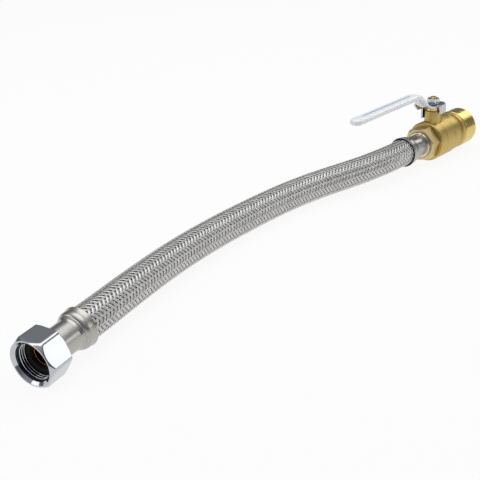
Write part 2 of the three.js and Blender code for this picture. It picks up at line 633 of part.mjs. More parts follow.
function leverHandle() {
  const mid = (HUB_TOP + HUB_UNDERSIDE) / 2;
  const toeRise = (LEVER_RISE * (LEVER_FOLD - FLANGE_TOE)) / (LEVER_FOLD - LEVER_BEND);
  const width = OVERSIZE * EAR_OUTER;
  const strip = solid(plateAlongY(band(leverLine(-LEVER_LENGTH), LEVER_THICKNESS), -width, width));
  const plan = solid(new THREE.ExtrudeGeometry(
    stripOutline(LEVER_STRIP_HALF_WIDTH, -LEVER_LENGTH, 0),
    { depth: OVERSIZE * HUB_TOP, bevelEnabled: false, curveSegments: TIP_STEPS }));
  const longEar = solid(plateAlongY([
    [FLANGE_TOE, mid + toeRise],
    [FLANGE_TOE, mid + toeRise - LEVER_THICKNESS],
    [LEVER_FOLD, HUB_TOP - FLANGE_DEPTH],
    [LONG_EAR_START, HUB_TOP - FLANGE_DEPTH],
    [LONG_EAR_START, HUB_TOP - LONG_EAR_REACH],
    [LONG_EAR_END, HUB_TOP - LONG_EAR_REACH],
    [LONG_EAR_END, mid],
    [LEVER_FOLD, mid],
  ], EAR_INNER, EAR_OUTER));
  const shortEar = solid(plateAlongY([
    [SHORT_EAR_START, HUB_TOP - SHORT_EAR_REACH],
    [SHORT_EAR_END, HUB_TOP - SHORT_EAR_REACH],
    [SHORT_EAR_END, mid],
    [SHORT_EAR_START, mid],
  ], -EAR_OUTER, -EAR_INNER));
  const hole = solid(turnedUpright([
    [0, 0], [0, STEM_HOLE_RADIUS], [OVERSIZE * HUB_TOP, STEM_HOLE_RADIUS], [OVERSIZE * HUB_TOP, 0],
  ]));
  const blank = strip.intersect(plan).add(longEar).add(shortEar).subtract(hole);
  return piece('lever_handle', fromSolid(blank), zincSteel());
}

// Vinyl dipped over the strip: the same line, thicker and wider, with the strip's room cut out
function leverGrip() {
  const width = LEVER_STRIP_HALF_WIDTH + GAP + GRIP_WALL;
  const tip = -LEVER_LENGTH - GAP - GRIP_WALL;
  const outside = LEVER_THICKNESS + 2 * (GAP + GRIP_WALL);
  const block = solid(plateAlongY(band(leverLine(tip), outside), -OVERSIZE * width, OVERSIZE * width));
  const plan = new THREE.Shape();
  plan.moveTo(GRIP_START, width + GRIP_WALL);
  plan.lineTo(LEVER_BEND - LEVER_BEND_RADIUS, width);
  plan.lineTo(tip + width, width);
  plan.absarc(tip + width, 0, width, Math.PI / 2, (3 * Math.PI) / 2, false);
  plan.lineTo(LEVER_BEND - LEVER_BEND_RADIUS, -width);
  plan.lineTo(GRIP_START, -width - GRIP_WALL);
  const column = solid(new THREE.ExtrudeGeometry(
    plan, { depth: OVERSIZE * HUB_TOP, bevelEnabled: false, curveSegments: TIP_STEPS }));
  const inside = LEVER_THICKNESS + 2 * GAP;
  const roomLine = leverLine(-LEVER_LENGTH - GAP);
  const room = solid(plateAlongY(band(roomLine, inside), -OVERSIZE * width, OVERSIZE * width));
  const roomPlan = solid(new THREE.ExtrudeGeometry(
    stripOutline(LEVER_STRIP_HALF_WIDTH + GAP, -LEVER_LENGTH - GAP, GAP),
    { depth: OVERSIZE * HUB_TOP, bevelEnabled: false, curveSegments: TIP_STEPS }));
  const sleeve = block.intersect(column).subtract(room.intersect(roomPlan));
  return piece('lever_grip', fromSolid(sleeve), vinyl());
}

function leverNut() {
  const prism = solid(new THREE.ExtrudeGeometry(
    hexagon(LEVER_NUT_ACROSS_FLATS, 0), { depth: LEVER_NUT_HEIGHT, bevelEnabled: false })
    .translate(0, 0, LEVER_NUT_BOTTOM));
  const corner = cornerRadius(LEVER_NUT_ACROSS_FLATS);
  const crown = (corner - LEVER_NUT_ACROSS_FLATS / 2) * CHAMFER_SLOPE;
  const top = LEVER_NUT_BOTTOM + LEVER_NUT_HEIGHT;
  const rounds = solid(turnedUpright([
    [LEVER_NUT_BOTTOM, STEM_THREAD_RADIUS + GAP],
    [LEVER_NUT_BOTTOM, corner],
    [top - crown, corner],
    [top, LEVER_NUT_ACROSS_FLATS / 2],
    [top, STEM_THREAD_RADIUS + GAP],
  ]));
  return piece('lever_nut', fromSolid(prism.intersect(rounds)), zincSteel());
}

// Push-fit end
function pushFitCap() {
  return piece('push_fit_cap', turned([
    [CAP_STATION, CAP_RADIUS - CAP_EDGE],
    [CAP_STATION + CAP_EDGE, CAP_RADIUS],
    [CAP_END_STATION - CAP_EDGE, CAP_RADIUS],
    [CAP_END_STATION, CAP_RADIUS - CAP_EDGE],
    [CAP_END_STATION, COLLAR_SLEEVE_RADIUS + GAP],
    [CAP_SHOULDER_STATION, COLLAR_SLEEVE_RADIUS + GAP],
    [CAP_SHOULDER_STATION, COLLAR_NOSE_RADIUS + GAP],
    [CAP_POCKET_STATION, COLLAR_NOSE_RADIUS + GAP],
    [CAP_POCKET_STATION, CAP_BORE_RADIUS],
    [CAP_STATION, CAP_BORE_RADIUS],
  ]), brass());
}

function sealingORing() {
  const station = SPIGOT_END_STATION - SEAL_POCKET_DEPTH + GAP + O_RING_SECTION;
  const radius = SEAL_POCKET_RADIUS - GAP - O_RING_SECTION;
  return piece('sealing_o_ring', ringAround(station, radius, O_RING_SECTION), rubber());
}

function oRingSpacer() {
  const start = SPIGOT_END_STATION - SEAL_POCKET_DEPTH + 2 * GAP + 2 * O_RING_SECTION;
  const end = SPIGOT_END_STATION - GAP;
  const rim = SEAL_POCKET_RADIUS - GAP;
  return piece('o_ring_spacer', turned([
    [start, rim], [end, rim], [end, SOCKET_CLEAR_RADIUS], [start, SOCKET_CLEAR_RADIUS],
  ]), plastic());
}

function grabRing() {
  const rim = new THREE.Shape();
  rim.absarc(0, 0, CAP_BORE_RADIUS - GAP, 0, 2 * Math.PI, false);
  const teeth = new THREE.Path();
  for (let k = 0; k < GRAB_RING_TEETH; k += 1) {
    const pitch = (2 * Math.PI) / GRAB_RING_TEETH;
    const root = SOCKET_CLEAR_RADIUS + GRAB_RING_TOOTH;
    const foot = TOOTH_SLIT / 2;
    const edge = foot + TOOTH_FLANK;
    const corners = [
      [foot, root],
      [edge, SOCKET_CLEAR_RADIUS],
      [1 - edge, SOCKET_CLEAR_RADIUS],
      [1 - foot, root],
    ];
    for (const [share, radius] of corners) {
      const angle = (k + share) * pitch;
      const point = [radius * Math.cos(angle), radius * Math.sin(angle)];
      if (teeth.currentPoint.lengthSq() === 0) teeth.moveTo(...point);
      else teeth.lineTo(...point);
    }
  }
  teeth.closePath();
  rim.holes.push(teeth);
  return piece('grab_ring', prismAlongX(rim, GRAB_RING_STATION, GRAB_RING_THICKNESS), stainless());
}

function releaseCollar() {
  const end = CAP_END_STATION + COLLAR_STAND;
  return piece('release_collar', turned([
    [COLLAR_NOSE_STATION, COLLAR_NOSE_RADIUS - CAP_EDGE],
    [COLLAR_NOSE_STATION + CAP_EDGE, COLLAR_NOSE_RADIUS],
    [COLLAR_NOSE_STATION + COLLAR_NOSE_LENGTH, COLLAR_NOSE_RADIUS],
    [COLLAR_NOSE_STATION + COLLAR_NOSE_LENGTH, COLLAR_SLEEVE_RADIUS],
    [end, COLLAR_SLEEVE_RADIUS],
    [end, SOCKET_CLEAR_RADIUS],
    [COLLAR_NOSE_STATION, SOCKET_CLEAR_RADIUS],
  ]), plastic());
}

// Assembly
const nutEnd = new THREE.Group();
nutEnd.position.set(NUT_FACE[0], NUT_FACE[1], NUT_ACROSS_FLATS / 2);
nutEnd.rotation.z = NUT_HEADING;
const inletFerrule = ferrule('inlet_ferrule');
inletFerrule.position.x = INLET_FERRULE_STATION;
nutEnd.add(swivelNut(), sealingWasher(), inletTailpiece(), inletFerrule);

const outletFerrule = ferrule('outlet_ferrule');
outletFerrule.position.x = OUTLET_FERRULE_STATION;
outletFerrule.rotation.z = Math.PI;
const hoseSeat = seat('hose_side_seat');
hoseSeat.rotation.z = Math.PI;
const valve = new THREE.Group();
valve.position.set(VALVE_PLACE[0], VALVE_PLACE[1], BODY_RADIUS);
valve.rotation.x = -STEM_LEAN;
valve.add(outletFerrule, outletInsert(), insertORing(), endConnector(), valveBody());
valve.add(ball(), hoseSeat, seat('outlet_side_seat'), stem());
valve.add(flatRing('stem_washer', STEM_FLANGE_TOP + GAP, STEM_WASHER_THICKNESS,
  STEM_FLANGE_RADIUS, STEM_HOLE_RADIUS, seatWhite()));
valve.add(flatRing('stem_packing', GLAND_FLOOR + GAP, PACKING_THICKNESS,
  GLAND_RADIUS - GAP, STEM_HOLE_RADIUS, seatWhite()));
valve.add(packingNut(), leverHandle(), leverGrip());
valve.add(flatRing('lock_washer', WASHER_BOTTOM, LOCK_WASHER_THICKNESS,
  LOCK_WASHER_RADIUS, STEM_THREAD_RADIUS + GAP, zincSteel()));
valve.add(leverNut(), pushFitCap(), sealingORing(), oRingSpacer(), grabRing(), releaseCollar());

const connector = new THREE.Group();
connector.add(nutEnd, valve);
connector.add(hoseLayer('inner_tube', TUBE_OUTER_RADIUS, TUBE_INNER_RADIUS, rubber()));
connector.add(hoseLayer('hose_braid', HOSE_RADIUS, BRAID_INNER_RADIUS, braidSteel()));

export default connector;
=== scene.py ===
import json
import math

import bmesh
import bpy
from mathutils import Matrix, Vector


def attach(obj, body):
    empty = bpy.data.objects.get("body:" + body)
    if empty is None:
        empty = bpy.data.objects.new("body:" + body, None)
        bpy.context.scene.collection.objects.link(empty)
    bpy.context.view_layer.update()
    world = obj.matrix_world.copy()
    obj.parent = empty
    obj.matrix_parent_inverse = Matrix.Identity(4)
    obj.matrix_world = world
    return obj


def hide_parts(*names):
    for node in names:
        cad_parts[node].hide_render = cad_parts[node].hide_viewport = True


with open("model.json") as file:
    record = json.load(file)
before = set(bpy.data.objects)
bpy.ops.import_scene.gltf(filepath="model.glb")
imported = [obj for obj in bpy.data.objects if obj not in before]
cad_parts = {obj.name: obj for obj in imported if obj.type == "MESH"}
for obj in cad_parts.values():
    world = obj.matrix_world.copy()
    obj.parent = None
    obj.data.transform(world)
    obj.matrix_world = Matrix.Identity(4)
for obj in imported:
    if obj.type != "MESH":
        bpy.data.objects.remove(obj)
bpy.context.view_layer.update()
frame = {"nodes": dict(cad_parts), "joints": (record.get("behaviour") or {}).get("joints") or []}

# Camera, table and studio light
# The connector lies on a white sweep under a wide soft light. Smaller ones stand low on its right, on
# its left and beyond the valve. The space round them is dark, and the metal shows it.
MM = 0.001
CAMERA_PLACE = (-0.4612, -0.3832, 0.2990)
CAMERA_HEADING = (0.7117, 0.7025)
CAMERA_DIP = math.radians(27.1)
CAMERA_ROLL = -0.02
CAMERA_LENS = 60.06
CAMERA_SENSOR = 36.0
TABLE_REACH = 6.0
TABLE_DEPTH = 0.2 * MM
TABLE_GREY = (0.84, 0.84, 0.84, 1)
TABLE_WHITE = (0.86, 0.86, 0.86, 1)
TABLE_GRAIN = 40.0
TABLE_SHADE = 0.09
SKY_STOPS = [(0.42, (0.17, 0.178, 0.195, 1)), (0.9, (0.62, 0.63, 0.65, 1))]
CONNECTOR_MIDDLE = (0, 0, 0.02)
# Each light's name, place, aim, width, height and radiance
LIGHTS = [
    ("side_light", (1.18, -1.25, 0.5), CONNECTOR_MIDDLE, 0.7, 0.6, 1.75),
    ("top_light", (0.0, 0.15, 1.3), (0.0, 0.15, 0), 1.6, 1.5, 1.4),
    ("end_light", (1.45, -0.1, 0.95), CONNECTOR_MIDDLE, 0.8, 0.5, 2.2),
    ("left_light", (-1.1, 0.6, 0.5), CONNECTOR_MIDDLE, 0.6, 0.5, 1.6),
]


class Signal:
    """One output of a node. Arithmetic on it adds Math nodes to its tree."""

    def __init__(self, graph, socket):
        self.graph = graph
        self.socket = socket

    def math(self, operation, *others):
        values = dict(enumerate((self, *others)))
        return self.graph.node("ShaderNodeMath", {"operation": operation}, values)

    def other(self, name):
        return Signal(self.graph, self.socket.node.outputs[name])

    def __add__(self, value):
        return self.math("ADD", value)

    def __mul__(self, value):
        return self.math("MULTIPLY", value)

    def __sub__(self, value):
        return self.math("SUBTRACT", value)

    def __rsub__(self, value):
        return self.graph.node("ShaderNodeMath", {"operation": "SUBTRACT"}, {0: value, 1: self})

    def __truediv__(self, value):
        return self.math("DIVIDE", value)

    __radd__ = __add__
    __rmul__ = __mul__


class Graph:
    """A node tree, and the one way in which nodes are added to it."""

    def __init__(self, tree):
        self.tree = tree

    def node(self, kind, settings=None, inputs=None, output=0):
        made = self.tree.nodes.new(kind)
        for name, value in (settings or {}).items():
            if name != "stops":
                setattr(made, name, value)
                continue
            for element, (place, shade) in zip(made.color_ramp.elements, value):
                element.position = place
                element.color = shade
        for key, value in (inputs or {}).items():
            if isinstance(value, Signal):
                self.tree.links.new(value.socket, made.inputs[key])
            else:
                made.inputs[key].default_value = value
        return Signal(self, made.outputs[output]) if made.outputs else made


class Finish(Graph):
    """A surface finish: one material, whose patterns hold to the piece they are on."""

    def __init__(self, name):
        self.material = bpy.data.materials.new(name)
        self.material.use_nodes = True
        super().__init__(self.material.node_tree)
        self.tree.nodes.clear()
        self.place = self.node("ShaderNodeTexCoord", output="Object")

    def noise(self, scale, detail=3.0, vector=None):
        inputs = {"Vector": vector or self.place, "Scale": scale, "Detail": detail}
        return self.node("ShaderNodeTexNoise", None, inputs)

    def between(self, share, low, high):
        inputs = {0: share, 6: low, 7: high}
        return self.node("ShaderNodeMix", {"data_type": "RGBA"}, inputs, output=2)

    def bump(self, height, depth):
        inputs = {"Height": height, "Distance": depth, "Strength": 1.0}
        return self.node("ShaderNodeBump", None, inputs)

    def surface(self, inputs):
        shader = self.node("ShaderNodeBsdfPrincipled", None, inputs)
        self.node("ShaderNodeOutputMaterial", None, {"Surface": shader})
        return self.material


def place_camera():
    across, along = CAMERA_HEADING
    level = math.cos(CAMERA_DIP)
    forward = Vector((across * level, along * level, -math.sin(CAMERA_DIP)))
    right = Vector((along, -across, 0))
    up = right.cross(forward)
    turn = Matrix((right, up, -forward)).transposed().to_4x4()
    camera = bpy.data.cameras.new("camera")
    camera.lens = CAMERA_LENS
    camera.sensor_width = CAMERA_SENSOR
    view = bpy.data.objects.new("camera", camera)
    view.matrix_world = Matrix.Translation(CAMERA_PLACE) @ turn @ Matrix.Rotation(CAMERA_ROLL, 4, "Z")
    bpy.context.collection.objects.link(view)
    bpy.context.scene.camera = view


def seen_directly(graph):
    """1 for the camera's rays and for those that metal mirrors or glass lets through."""
    rays = graph.node("ShaderNodeLightPath", output="Is Camera Ray")
    mirrored = rays.math("MAXIMUM", rays.other("Is Glossy Ray"))
    return mirrored.math("MAXIMUM", rays.other("Is Transmission Ray"))


def lay_table():
    finish = Finish("white_table")
    shade = finish.between(finish.noise(TABLE_GRAIN), TABLE_GREY, TABLE_WHITE)
    paper = finish.node("ShaderNodeBsdfDiffuse", None, {"Color": shade})
    white = finish.node("ShaderNodeEmission", None, {"Color": (1, 1, 1, 1), "Strength": 1.0})
    share = seen_directly(finish) * (1 - TABLE_SHADE)
    both = finish.node("ShaderNodeMixShader", None, {0: share, 1: paper, 2: white})
    finish.node("ShaderNodeOutputMaterial", None, {"Surface": both})
    reach = TABLE_REACH
    corners = [(-reach, -reach), (reach, -reach), (reach, reach), (-reach, reach)]
    mesh = bpy.data.meshes.new("table")
    mesh.from_pydata([(x, y, -TABLE_DEPTH) for x, y in corners], [], [(0, 1, 2, 3)])
    mesh.materials.append(finish.material)
    table = bpy.data.objects.new("table", mesh)
    bpy.context.collection.objects.link(table)


def hang_light(name, place, aim, width, height, radiance):
    lamp = bpy.data.lights.new(name, "AREA")
    lamp.shape = "RECTANGLE"
    lamp.size = width
    lamp.size_y = height
    lamp.energy = radiance * math.pi * width * height
    light = bpy.data.objects.new(name, lamp)
    toward = Vector(aim) - Vector(place)
    light.matrix_world = Matrix.Translation(place) @ toward.to_track_quat("-Z", "Y").to_matrix().to_4x4()
    bpy.context.collection.objects.link(light)


def set_sky():
    world = bpy.data.worlds.new("studio")
    world.use_nodes = True
    bpy.context.scene.world = world
    graph = Graph(world.node_tree)
    graph.tree.nodes.clear()
    direction = graph.node("ShaderNodeTexCoord", output="Generated")
    height = graph.node("ShaderNodeSeparateXYZ", None, {0: direction}, output="Z")
    colour = graph.node("ShaderNodeValToRGB", {"stops": SKY_STOPS}, {0: height})
    sky = graph.node("ShaderNodeBackground", None, {"Color": colour, "Strength": 1.0})
    graph.node("ShaderNodeOutputWorld", None, {"Surface": sky})


place_camera()
lay_table()
set_sky()
for light in LIGHTS:
    hang_light(*light)
bpy.context.scene.view_settings.view_transform = "Standard"

# Hose
# A rubber tube inside a braid of stainless wire. Sixteen flat bundles of wires wind each way round it,
# and each passes over two of the others and then under two.
HOSE_ROUTE = [
    (-0.231, -0.0052, 0.016), (-0.2189, -0.0022, 0.016), (-0.2048, 0.0014, 0.016),
    (-0.1809, 0.008, 0.0158), (-0.1564, 0.0149, 0.0152), (-0.1314, 0.0214, 0.0145),
    (-0.1061, 0.0268, 0.0139), (-0.0806, 0.0308, 0.0135), (-0.0553, 0.0335, 0.0133),
    (-0.03, 0.0352, 0.0132), (-0.0047, 0.0362, 0.0132), (0.0204, 0.0361, 0.0133),
    (0.0448, 0.0342, 0.0136), (0.0686, 0.0304, 0.0142), (0.0912, 0.0251, 0.0152),
    (0.1123, 0.0193, 0.0168), (0.1328, 0.0148, 0.0186), (0.1502, 0.013, 0.0195),
    (0.1722, 0.0129, 0.0196),
]
HOSE_RADIUS = 12.7 * MM
ROUTE_RESOLUTION = 12
BUNDLES = 16
BRAID_TURNS = 7.0
BUNDLE_STEPS = 490
BUNDLE_SIDES = 6
BUNDLE_HALF_WIDTH = 1.22 * MM
BUNDLE_HALF_THICKNESS = 0.34 * MM
BUNDLE_RISE = 0.28 * MM
BRAID_END = 1.8 * MM
BUNDLE_WIRES = 6
BUNDLE_SCATTER = 7.31
WIRE_DEPTH = 0.04 * MM
WIRE_GRAIN = 260.0
WIRE_DARK = (0.47, 0.465, 0.45, 1)
WIRE_LIGHT = (0.71, 0.70, 0.68, 1)


def braid_tree():
    """Winds the bundles round a route that comes in as a line of points."""
    tree = bpy.data.node_groups.new("braid", "GeometryNodeTree")
    tree.is_modifier = True
    keys = {}
    sizes = {
        "Bundles": ("NodeSocketInt", BUNDLES),
        "Turns": ("NodeSocketFloat", BRAID_TURNS),
        "Steps": ("NodeSocketInt", BUNDLE_STEPS),
        "Outer radius": ("NodeSocketFloat", HOSE_RADIUS),
        "Half width": ("NodeSocketFloat", BUNDLE_HALF_WIDTH),
        "Half thickness": ("NodeSocketFloat", BUNDLE_HALF_THICKNESS),
        "Rise": ("NodeSocketFloat", BUNDLE_RISE),
        "End": ("NodeSocketFloat", BRAID_END),
        "Finish": ("NodeSocketMaterial", None),
    }
    tree.interface.new_socket("Route", in_out="INPUT", socket_type="NodeSocketGeometry")
    for name, (kind, _) in sizes.items():
        keys[name] = tree.interface.new_socket(name, in_out="INPUT", socket_type=kind).identifier
    tree.interface.new_socket("Braid", in_out="OUTPUT", socket_type="NodeSocketGeometry")
    graph = Graph(tree)
    given = graph.node("NodeGroupInput")
    size = given.other

    def marked(geometry, name, value):
        return graph.node("GeometryNodeStoreNamedAttribute", {"data_type": "FLOAT", "domain": "POINT"},
                          {0: geometry, "Name": name, "Value": value})

    def stored(name):
        return graph.node("GeometryNodeInputNamedAttribute", {"data_type": "FLOAT"}, {"Name": name})

    def vectors(operation, *values):
        return graph.node("ShaderNodeVectorMath", {"operation": operation}, dict(enumerate(values)))

    def scaled(vector, factor):
        return graph.node("ShaderNodeVectorMath", {"operation": "SCALE"}, {0: vector, "Scale": factor})

    line = graph.node("GeometryNodeMeshToCurve", None, {0: size("Route")})
    line = graph.node("GeometryNodeCurveSplineType", {"spline_type": "CATMULL_ROM"}, {0: line})
    line = graph.node("GeometryNodeSetSplineResolution", None, {0: line, "Resolution": ROUTE_RESOLUTION})
    length = graph.node("GeometryNodeCurveLength", None, {0: line})

    around = {
        "Vertices": BUNDLE_SIDES,
        "Side Segments": size("Steps"),
        "Fill Segments": 1,
        "Radius": 1.0,
        "Depth": 1.0,
    }
    bundle = graph.node("GeometryNodeMeshCylinder", {"fill_type": "NGON"}, around)
    point = graph.node("ShaderNodeSeparateXYZ", None, {0: graph.node("GeometryNodeInputPosition")})
    kept = {"across": point.other("X"), "lift": point.other("Y"), "along": point.other("Z") + 0.5}
    for name, value in kept.items():
        bundle = marked(bundle, name, value)

    starts = graph.node("GeometryNodeMeshLine", None, {"Count": size("Bundles") * 2})
    starts = marked(starts, "bundle", graph.node("GeometryNodeInputIndex"))
    wound = graph.node("GeometryNodeInstanceOnPoints", None, {"Points": starts, "Instance": bundle})
    wound = graph.node("GeometryNodeRealizeInstances", None, {0: wound})

    index = stored("bundle")
    across = stored("across") * size("Half width")
    way = 1 - index.math("GREATER_THAN", size("Bundles") - 0.5) * 2
    place = index.math("MODULO", size("Bundles"))
    reach = length - size("End") * 2
    station = size("End") + stored("along") * reach
    swing = size("Turns") * math.tau / length
    lay = (swing * size("Outer radius")).math("ARCTANGENT")
    turn = way * swing * station + place * math.tau / size("Bundles")
    turn = turn + across * lay.math("COSINE") / size("Outer radius")
    crossings = size("Bundles") * size("Turns") * 2 * station / length
    wave = ((place * 2 + way * crossings - 0.5) * (math.pi / 2)).math("COSINE")
    middle = size("Outer radius") - size("Rise") - size("Half thickness")
    radius = middle + way * wave * size("Rise") + stored("lift") * size("Half thickness")
    slid = station - way * across * lay.math("SINE")

    sampled = graph.node("GeometryNodeSampleCurve", {"mode": "LENGTH"},
                         {"Curves": line, "Length": slid}, "Position")
    tangent = sampled.other("Tangent")
    side = vectors("NORMALIZE", vectors("CROSS_PRODUCT", tangent, (0, 0, 1)))
    above = vectors("CROSS_PRODUCT", side, tangent)
    out = vectors("ADD", scaled(side, turn.math("SINE") * radius),
                  scaled(above, turn.math("COSINE") * radius))
    spot = vectors("ADD", sampled, out)
    wound = graph.node("GeometryNodeSetPosition", None, {0: wound, "Position": spot})
    wound = graph.node("GeometryNodeSetShadeSmooth", None, {0: wound})
    wound = graph.node("GeometryNodeSetMaterial", None, {0: wound, "Material": size("Finish")})
    graph.node("NodeGroupOutput", None, {0: wound})
    return tree, keys, {name: value for name, (_, value) in sizes.items()}


def wire_finish():
    """Bright stainless wires side by side across each bundle."""
    finish = Finish("braided_wire")
    across = finish.node("ShaderNodeAttribute", {"attribute_name": "across"}, output="Fac")
    bundle = finish.node("ShaderNodeAttribute", {"attribute_name": "bundle"}, output="Fac")
    groove = (across * (BUNDLE_WIRES * math.pi / 2)).math("SINE").math("ABSOLUTE")
    tint = finish.noise(WIRE_GRAIN)
    shade = (bundle * BUNDLE_SCATTER).math("FRACT") * 0.4 + tint * 0.6
    return finish.surface({
        "Base Color": finish.between(shade, WIRE_DARK, WIRE_LIGHT),
        "Metallic": 1.0,
        "Roughness": 0.30 + tint * 0.12,
        "Normal": finish.bump(groove, WIRE_DEPTH),
    })


def settle(piece):
    """Turns a piece's modifiers into its plain mesh."""
    graph = bpy.context.evaluated_depsgraph_get()
    mesh = bpy.data.meshes.new_from_object(piece.evaluated_get(graph))
    piece.modifiers.clear()
    piece.data = mesh
    return piece


def wind_braid():
    """The braid as one piece, wound on the hose's route."""
    mesh = bpy.data.meshes.new("hose_route")
    mesh.from_pydata(HOSE_ROUTE, [(k, k + 1) for k in range(len(HOSE_ROUTE) - 1)], [])
    braid = bpy.data.objects.new("wire_braid", mesh)
    bpy.context.collection.objects.link(braid)
    tree, keys, values = braid_tree()
    winding = braid.modifiers.new("winding", "NODES")
    winding.node_group = tree
    values["Finish"] = wire_finish()
    for name, value in values.items():
        winding[keys[name]] = value
    settle(braid)
    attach(braid, "root")
    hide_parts("hose_braid")


def plain_finish(name, dark, light, roughness, grain, depth):
    """A moulded part: a little mottled, with a fine grain."""
    finish = Finish(name)
    mottle = finish.noise(grain)
    return finish.surface({
        "Base Color": finish.between(mottle, (*dark, 1), (*light, 1)),
        "Roughness": roughness + mottle * 0.12,
        "Normal": finish.bump(mottle, depth),
    })


def coat(node, material):
    """Gives a CAD node that stays its finish."""
    piece = frame["nodes"][node]
    piece.data.materials.clear()
    piece.data.materials.append(material)


wind_braid()
rubber = plain_finish("black_rubber", dark=(0.004, 0.004, 0.006), light=(0.01, 0.01, 0.012),
                      roughness=0.7, grain=700.0, depth=0.03 * MM)
coat("inner_tube", rubber)

# Swivel nut
# Forged brass with polished chrome plate, cut with a female pipe thread, and free to turn on the
# tailpiece whose flange its back wall holds.
NUT_ACROSS_FLATS = 32.0
NUT_LENGTH = 18.1
NUT_THREAD_RADIUS = 13.3
NUT_MOUTH_RADIUS = 15.2
NUT_RING_RADIUS = 16.1
NUT_FLOOR = 13.8
NUT_HOLE_RADIUS = 8.7
NUT_FRONT_CHAMFER = 3.0
NUT_REAR_CHAMFER = 0.6
NUT_REAR_DROPS = (0.5, 0.3, 0.15, 0)
NUT_EDGE = 1.1
NUT_FILLET = 2.4
NUT_MOUTH_EDGE = 0.12
NUT_RING_EDGE = 0.15
EDGE_SHARPNESS = 0.2
CHAMFER_SLOPE = math.tan(math.pi / 6)
CHAMFER_STEPS = 16
CHAMFER_OVERRUN = 1.15
FLATS_START = 1.25
THREAD_PITCH = 25.4 / 14
THREAD_DEPTH = 1.15
THREAD_SHARPNESS = 1.5
THREAD_START = 1.9
THREAD_RUNOUT = 0.2
THREAD_RINGS = 36
# Painted shade: all of the thread but the inner share of each crest is coloured near-black, for the shade
# deep in the bore.
THREAD_BRIGHT = 0.66
THREAD_PAINTED_SHADE = (0.03, 0.032, 0.042, 1)
THREAD_MARGIN = 0.1
CHROME_DARK = (0.47, 0.48, 0.50, 1)
CHROME_LIGHT = (0.56, 0.57, 0.59, 1)
CHROME_RIPPLE = 0.06 * MM
HEX_SIDES = 288
ROUND_SIDES = 96
FILLET_STEPS = 3
MERGE_DISTANCE = 0.002 * MM
SHARP_ANGLE = math.radians(50)

joints = {joint["name"]: joint for joint in frame["joints"]}
nut_axis = Vector(joints["nut_swivel"]["axis"])
nut_place = Matrix.Translation(joints["nut_swivel"]["pos_m"]) @ Matrix.Rotation(
    math.atan2(nut_axis.y, nut_axis.x), 4, "Z")


def turned(name, place, rings, sides=ROUND_SIDES):
    """A closed body turned about its place's X axis.

    A ring is a station and a radius, or a function that gives both for an angle.
    """
    body = bmesh.new()
    loops = []
    for ring in rings:
        loop = []
        for k in range(sides):
            angle = math.tau * k / sides
            station, radius = ring(angle) if callable(ring) else ring
            point = Vector((station, radius * math.cos(angle), radius * math.sin(angle))) * MM
            loop.append(body.verts.new(place @ point))
        loops.append(loop)
    for near, far in zip(loops, loops[1:] + loops[:1]):
        for k in range(sides):
            after = (k + 1) % sides
            body.faces.new((near[k], near[after], far[after], far[k]))
    return finished(name, body)


def new_piece(name, body):
    """An object made from a bmesh, shaded smooth."""
    mesh = bpy.data.meshes.new(name)
    body.to_mesh(mesh)
    body.free()
    mesh.shade_smooth()
    piece = bpy.data.objects.new(name, mesh)
    bpy.context.collection.objects.link(piece)
    return piece


def flat_faced(piece):
    """Keeps the large faces flat where the edges beside them are shaded smooth."""
    weighting = piece.modifiers.new("flats", "WEIGHTED_NORMAL")
    weighting.keep_sharp = True
    return settle(piece)


def finished(name, body):
    """A bmesh made into a smooth piece whose flat faces stay flat."""
    bmesh.ops.remove_doubles(body, verts=body.verts, dist=MERGE_DISTANCE)
    bmesh.ops.recalc_face_normals(body, faces=body.faces)
    piece = new_piece(name, body)
    piece.data.set_sharp_from_angle(angle=SHARP_ANGLE)
    return flat_faced(piece)


def steps_between(low, high, count):
    return [low + (high - low) * k / count for k in range(count + 1)]


def arc_point(first, middle, last, t):
    """A point on the small arc that rounds a corner."""
    return first * (1 - t) ** 2 + middle * 2 * t * (1 - t) + last * t ** 2


def rounded(profile, fillet=0.25):
    """A closed profile with each corner off the axis turned into a small arc."""
    points = []
    for k, corner in enumerate(profile):
        middle = Vector(corner)
        before = Vector(profile[k - 1]) - middle
        after = Vector(profile[(k + 1) % len(profile)]) - middle
        reach = min(fillet, 0.45 * before.length, 0.45 * after.length)
        if corner[1] == 0:
            points.append(corner)
            continue
        first = middle + before.normalized() * reach
        last = middle + after.normalized() * reach
        points += [tuple(arc_point(first, middle, last, t)) for t in steps_between(0, 1, FILLET_STEPS)]
    return points


def soft_least(first, second, blend):
    """The lesser of two radii, with the step between them rounded."""
    near = max(blend - abs(first - second), 0.0) / blend
    return min(first, second) - near * near * blend / 4


def corner_radius(across_flats):
    """A hexagon's radius at its corners."""
    return across_flats / 2 / math.cos(math.pi / 6)


def hexed(station, radius, across_flats, first_corner, edge, fillet=0.0):
    """A ring whose radius stays inside a hexagon, whose corners may be rounded."""
    centre = (across_flats / 2 - fillet) / math.cos(math.pi / 6)
    reach = math.atan2(fillet / 2, centre + fillet * math.cos(math.pi / 6))

    def ring(angle):
        turn = (angle - first_corner) % (math.pi / 3) - math.pi / 6
        side = across_flats / 2 / math.cos(turn)
        off = math.pi / 6 - abs(turn)
        if off < reach:
            side = centre * math.cos(off) + math.sqrt(fillet ** 2 - (centre * math.sin(off)) ** 2)
        return station, soft_least(radius, side, edge)
    return ring


def front_chamfer(outside, face, length, first, corner):
    """Rings over a hexagon's chamfer, from the edge of its face to a little past its corners."""
    return [outside(face + length * t, first + (corner - first) * t)
            for t in steps_between(0, CHAMFER_OVERRUN, CHAMFER_STEPS)]


def threaded(station):
    """A ring of the nut's thread, whose crests stand inwards."""
    def ring(angle):
        share = (station / THREAD_PITCH - angle / math.tau) % 1
        crest = (0.5 - 0.5 * math.cos(math.tau * share)) ** THREAD_SHARPNESS
        fade = min(max((station - THREAD_START) / THREAD_PITCH, 0), 1)
        return station, NUT_THREAD_RADIUS - THREAD_DEPTH * crest * fade
    return ring


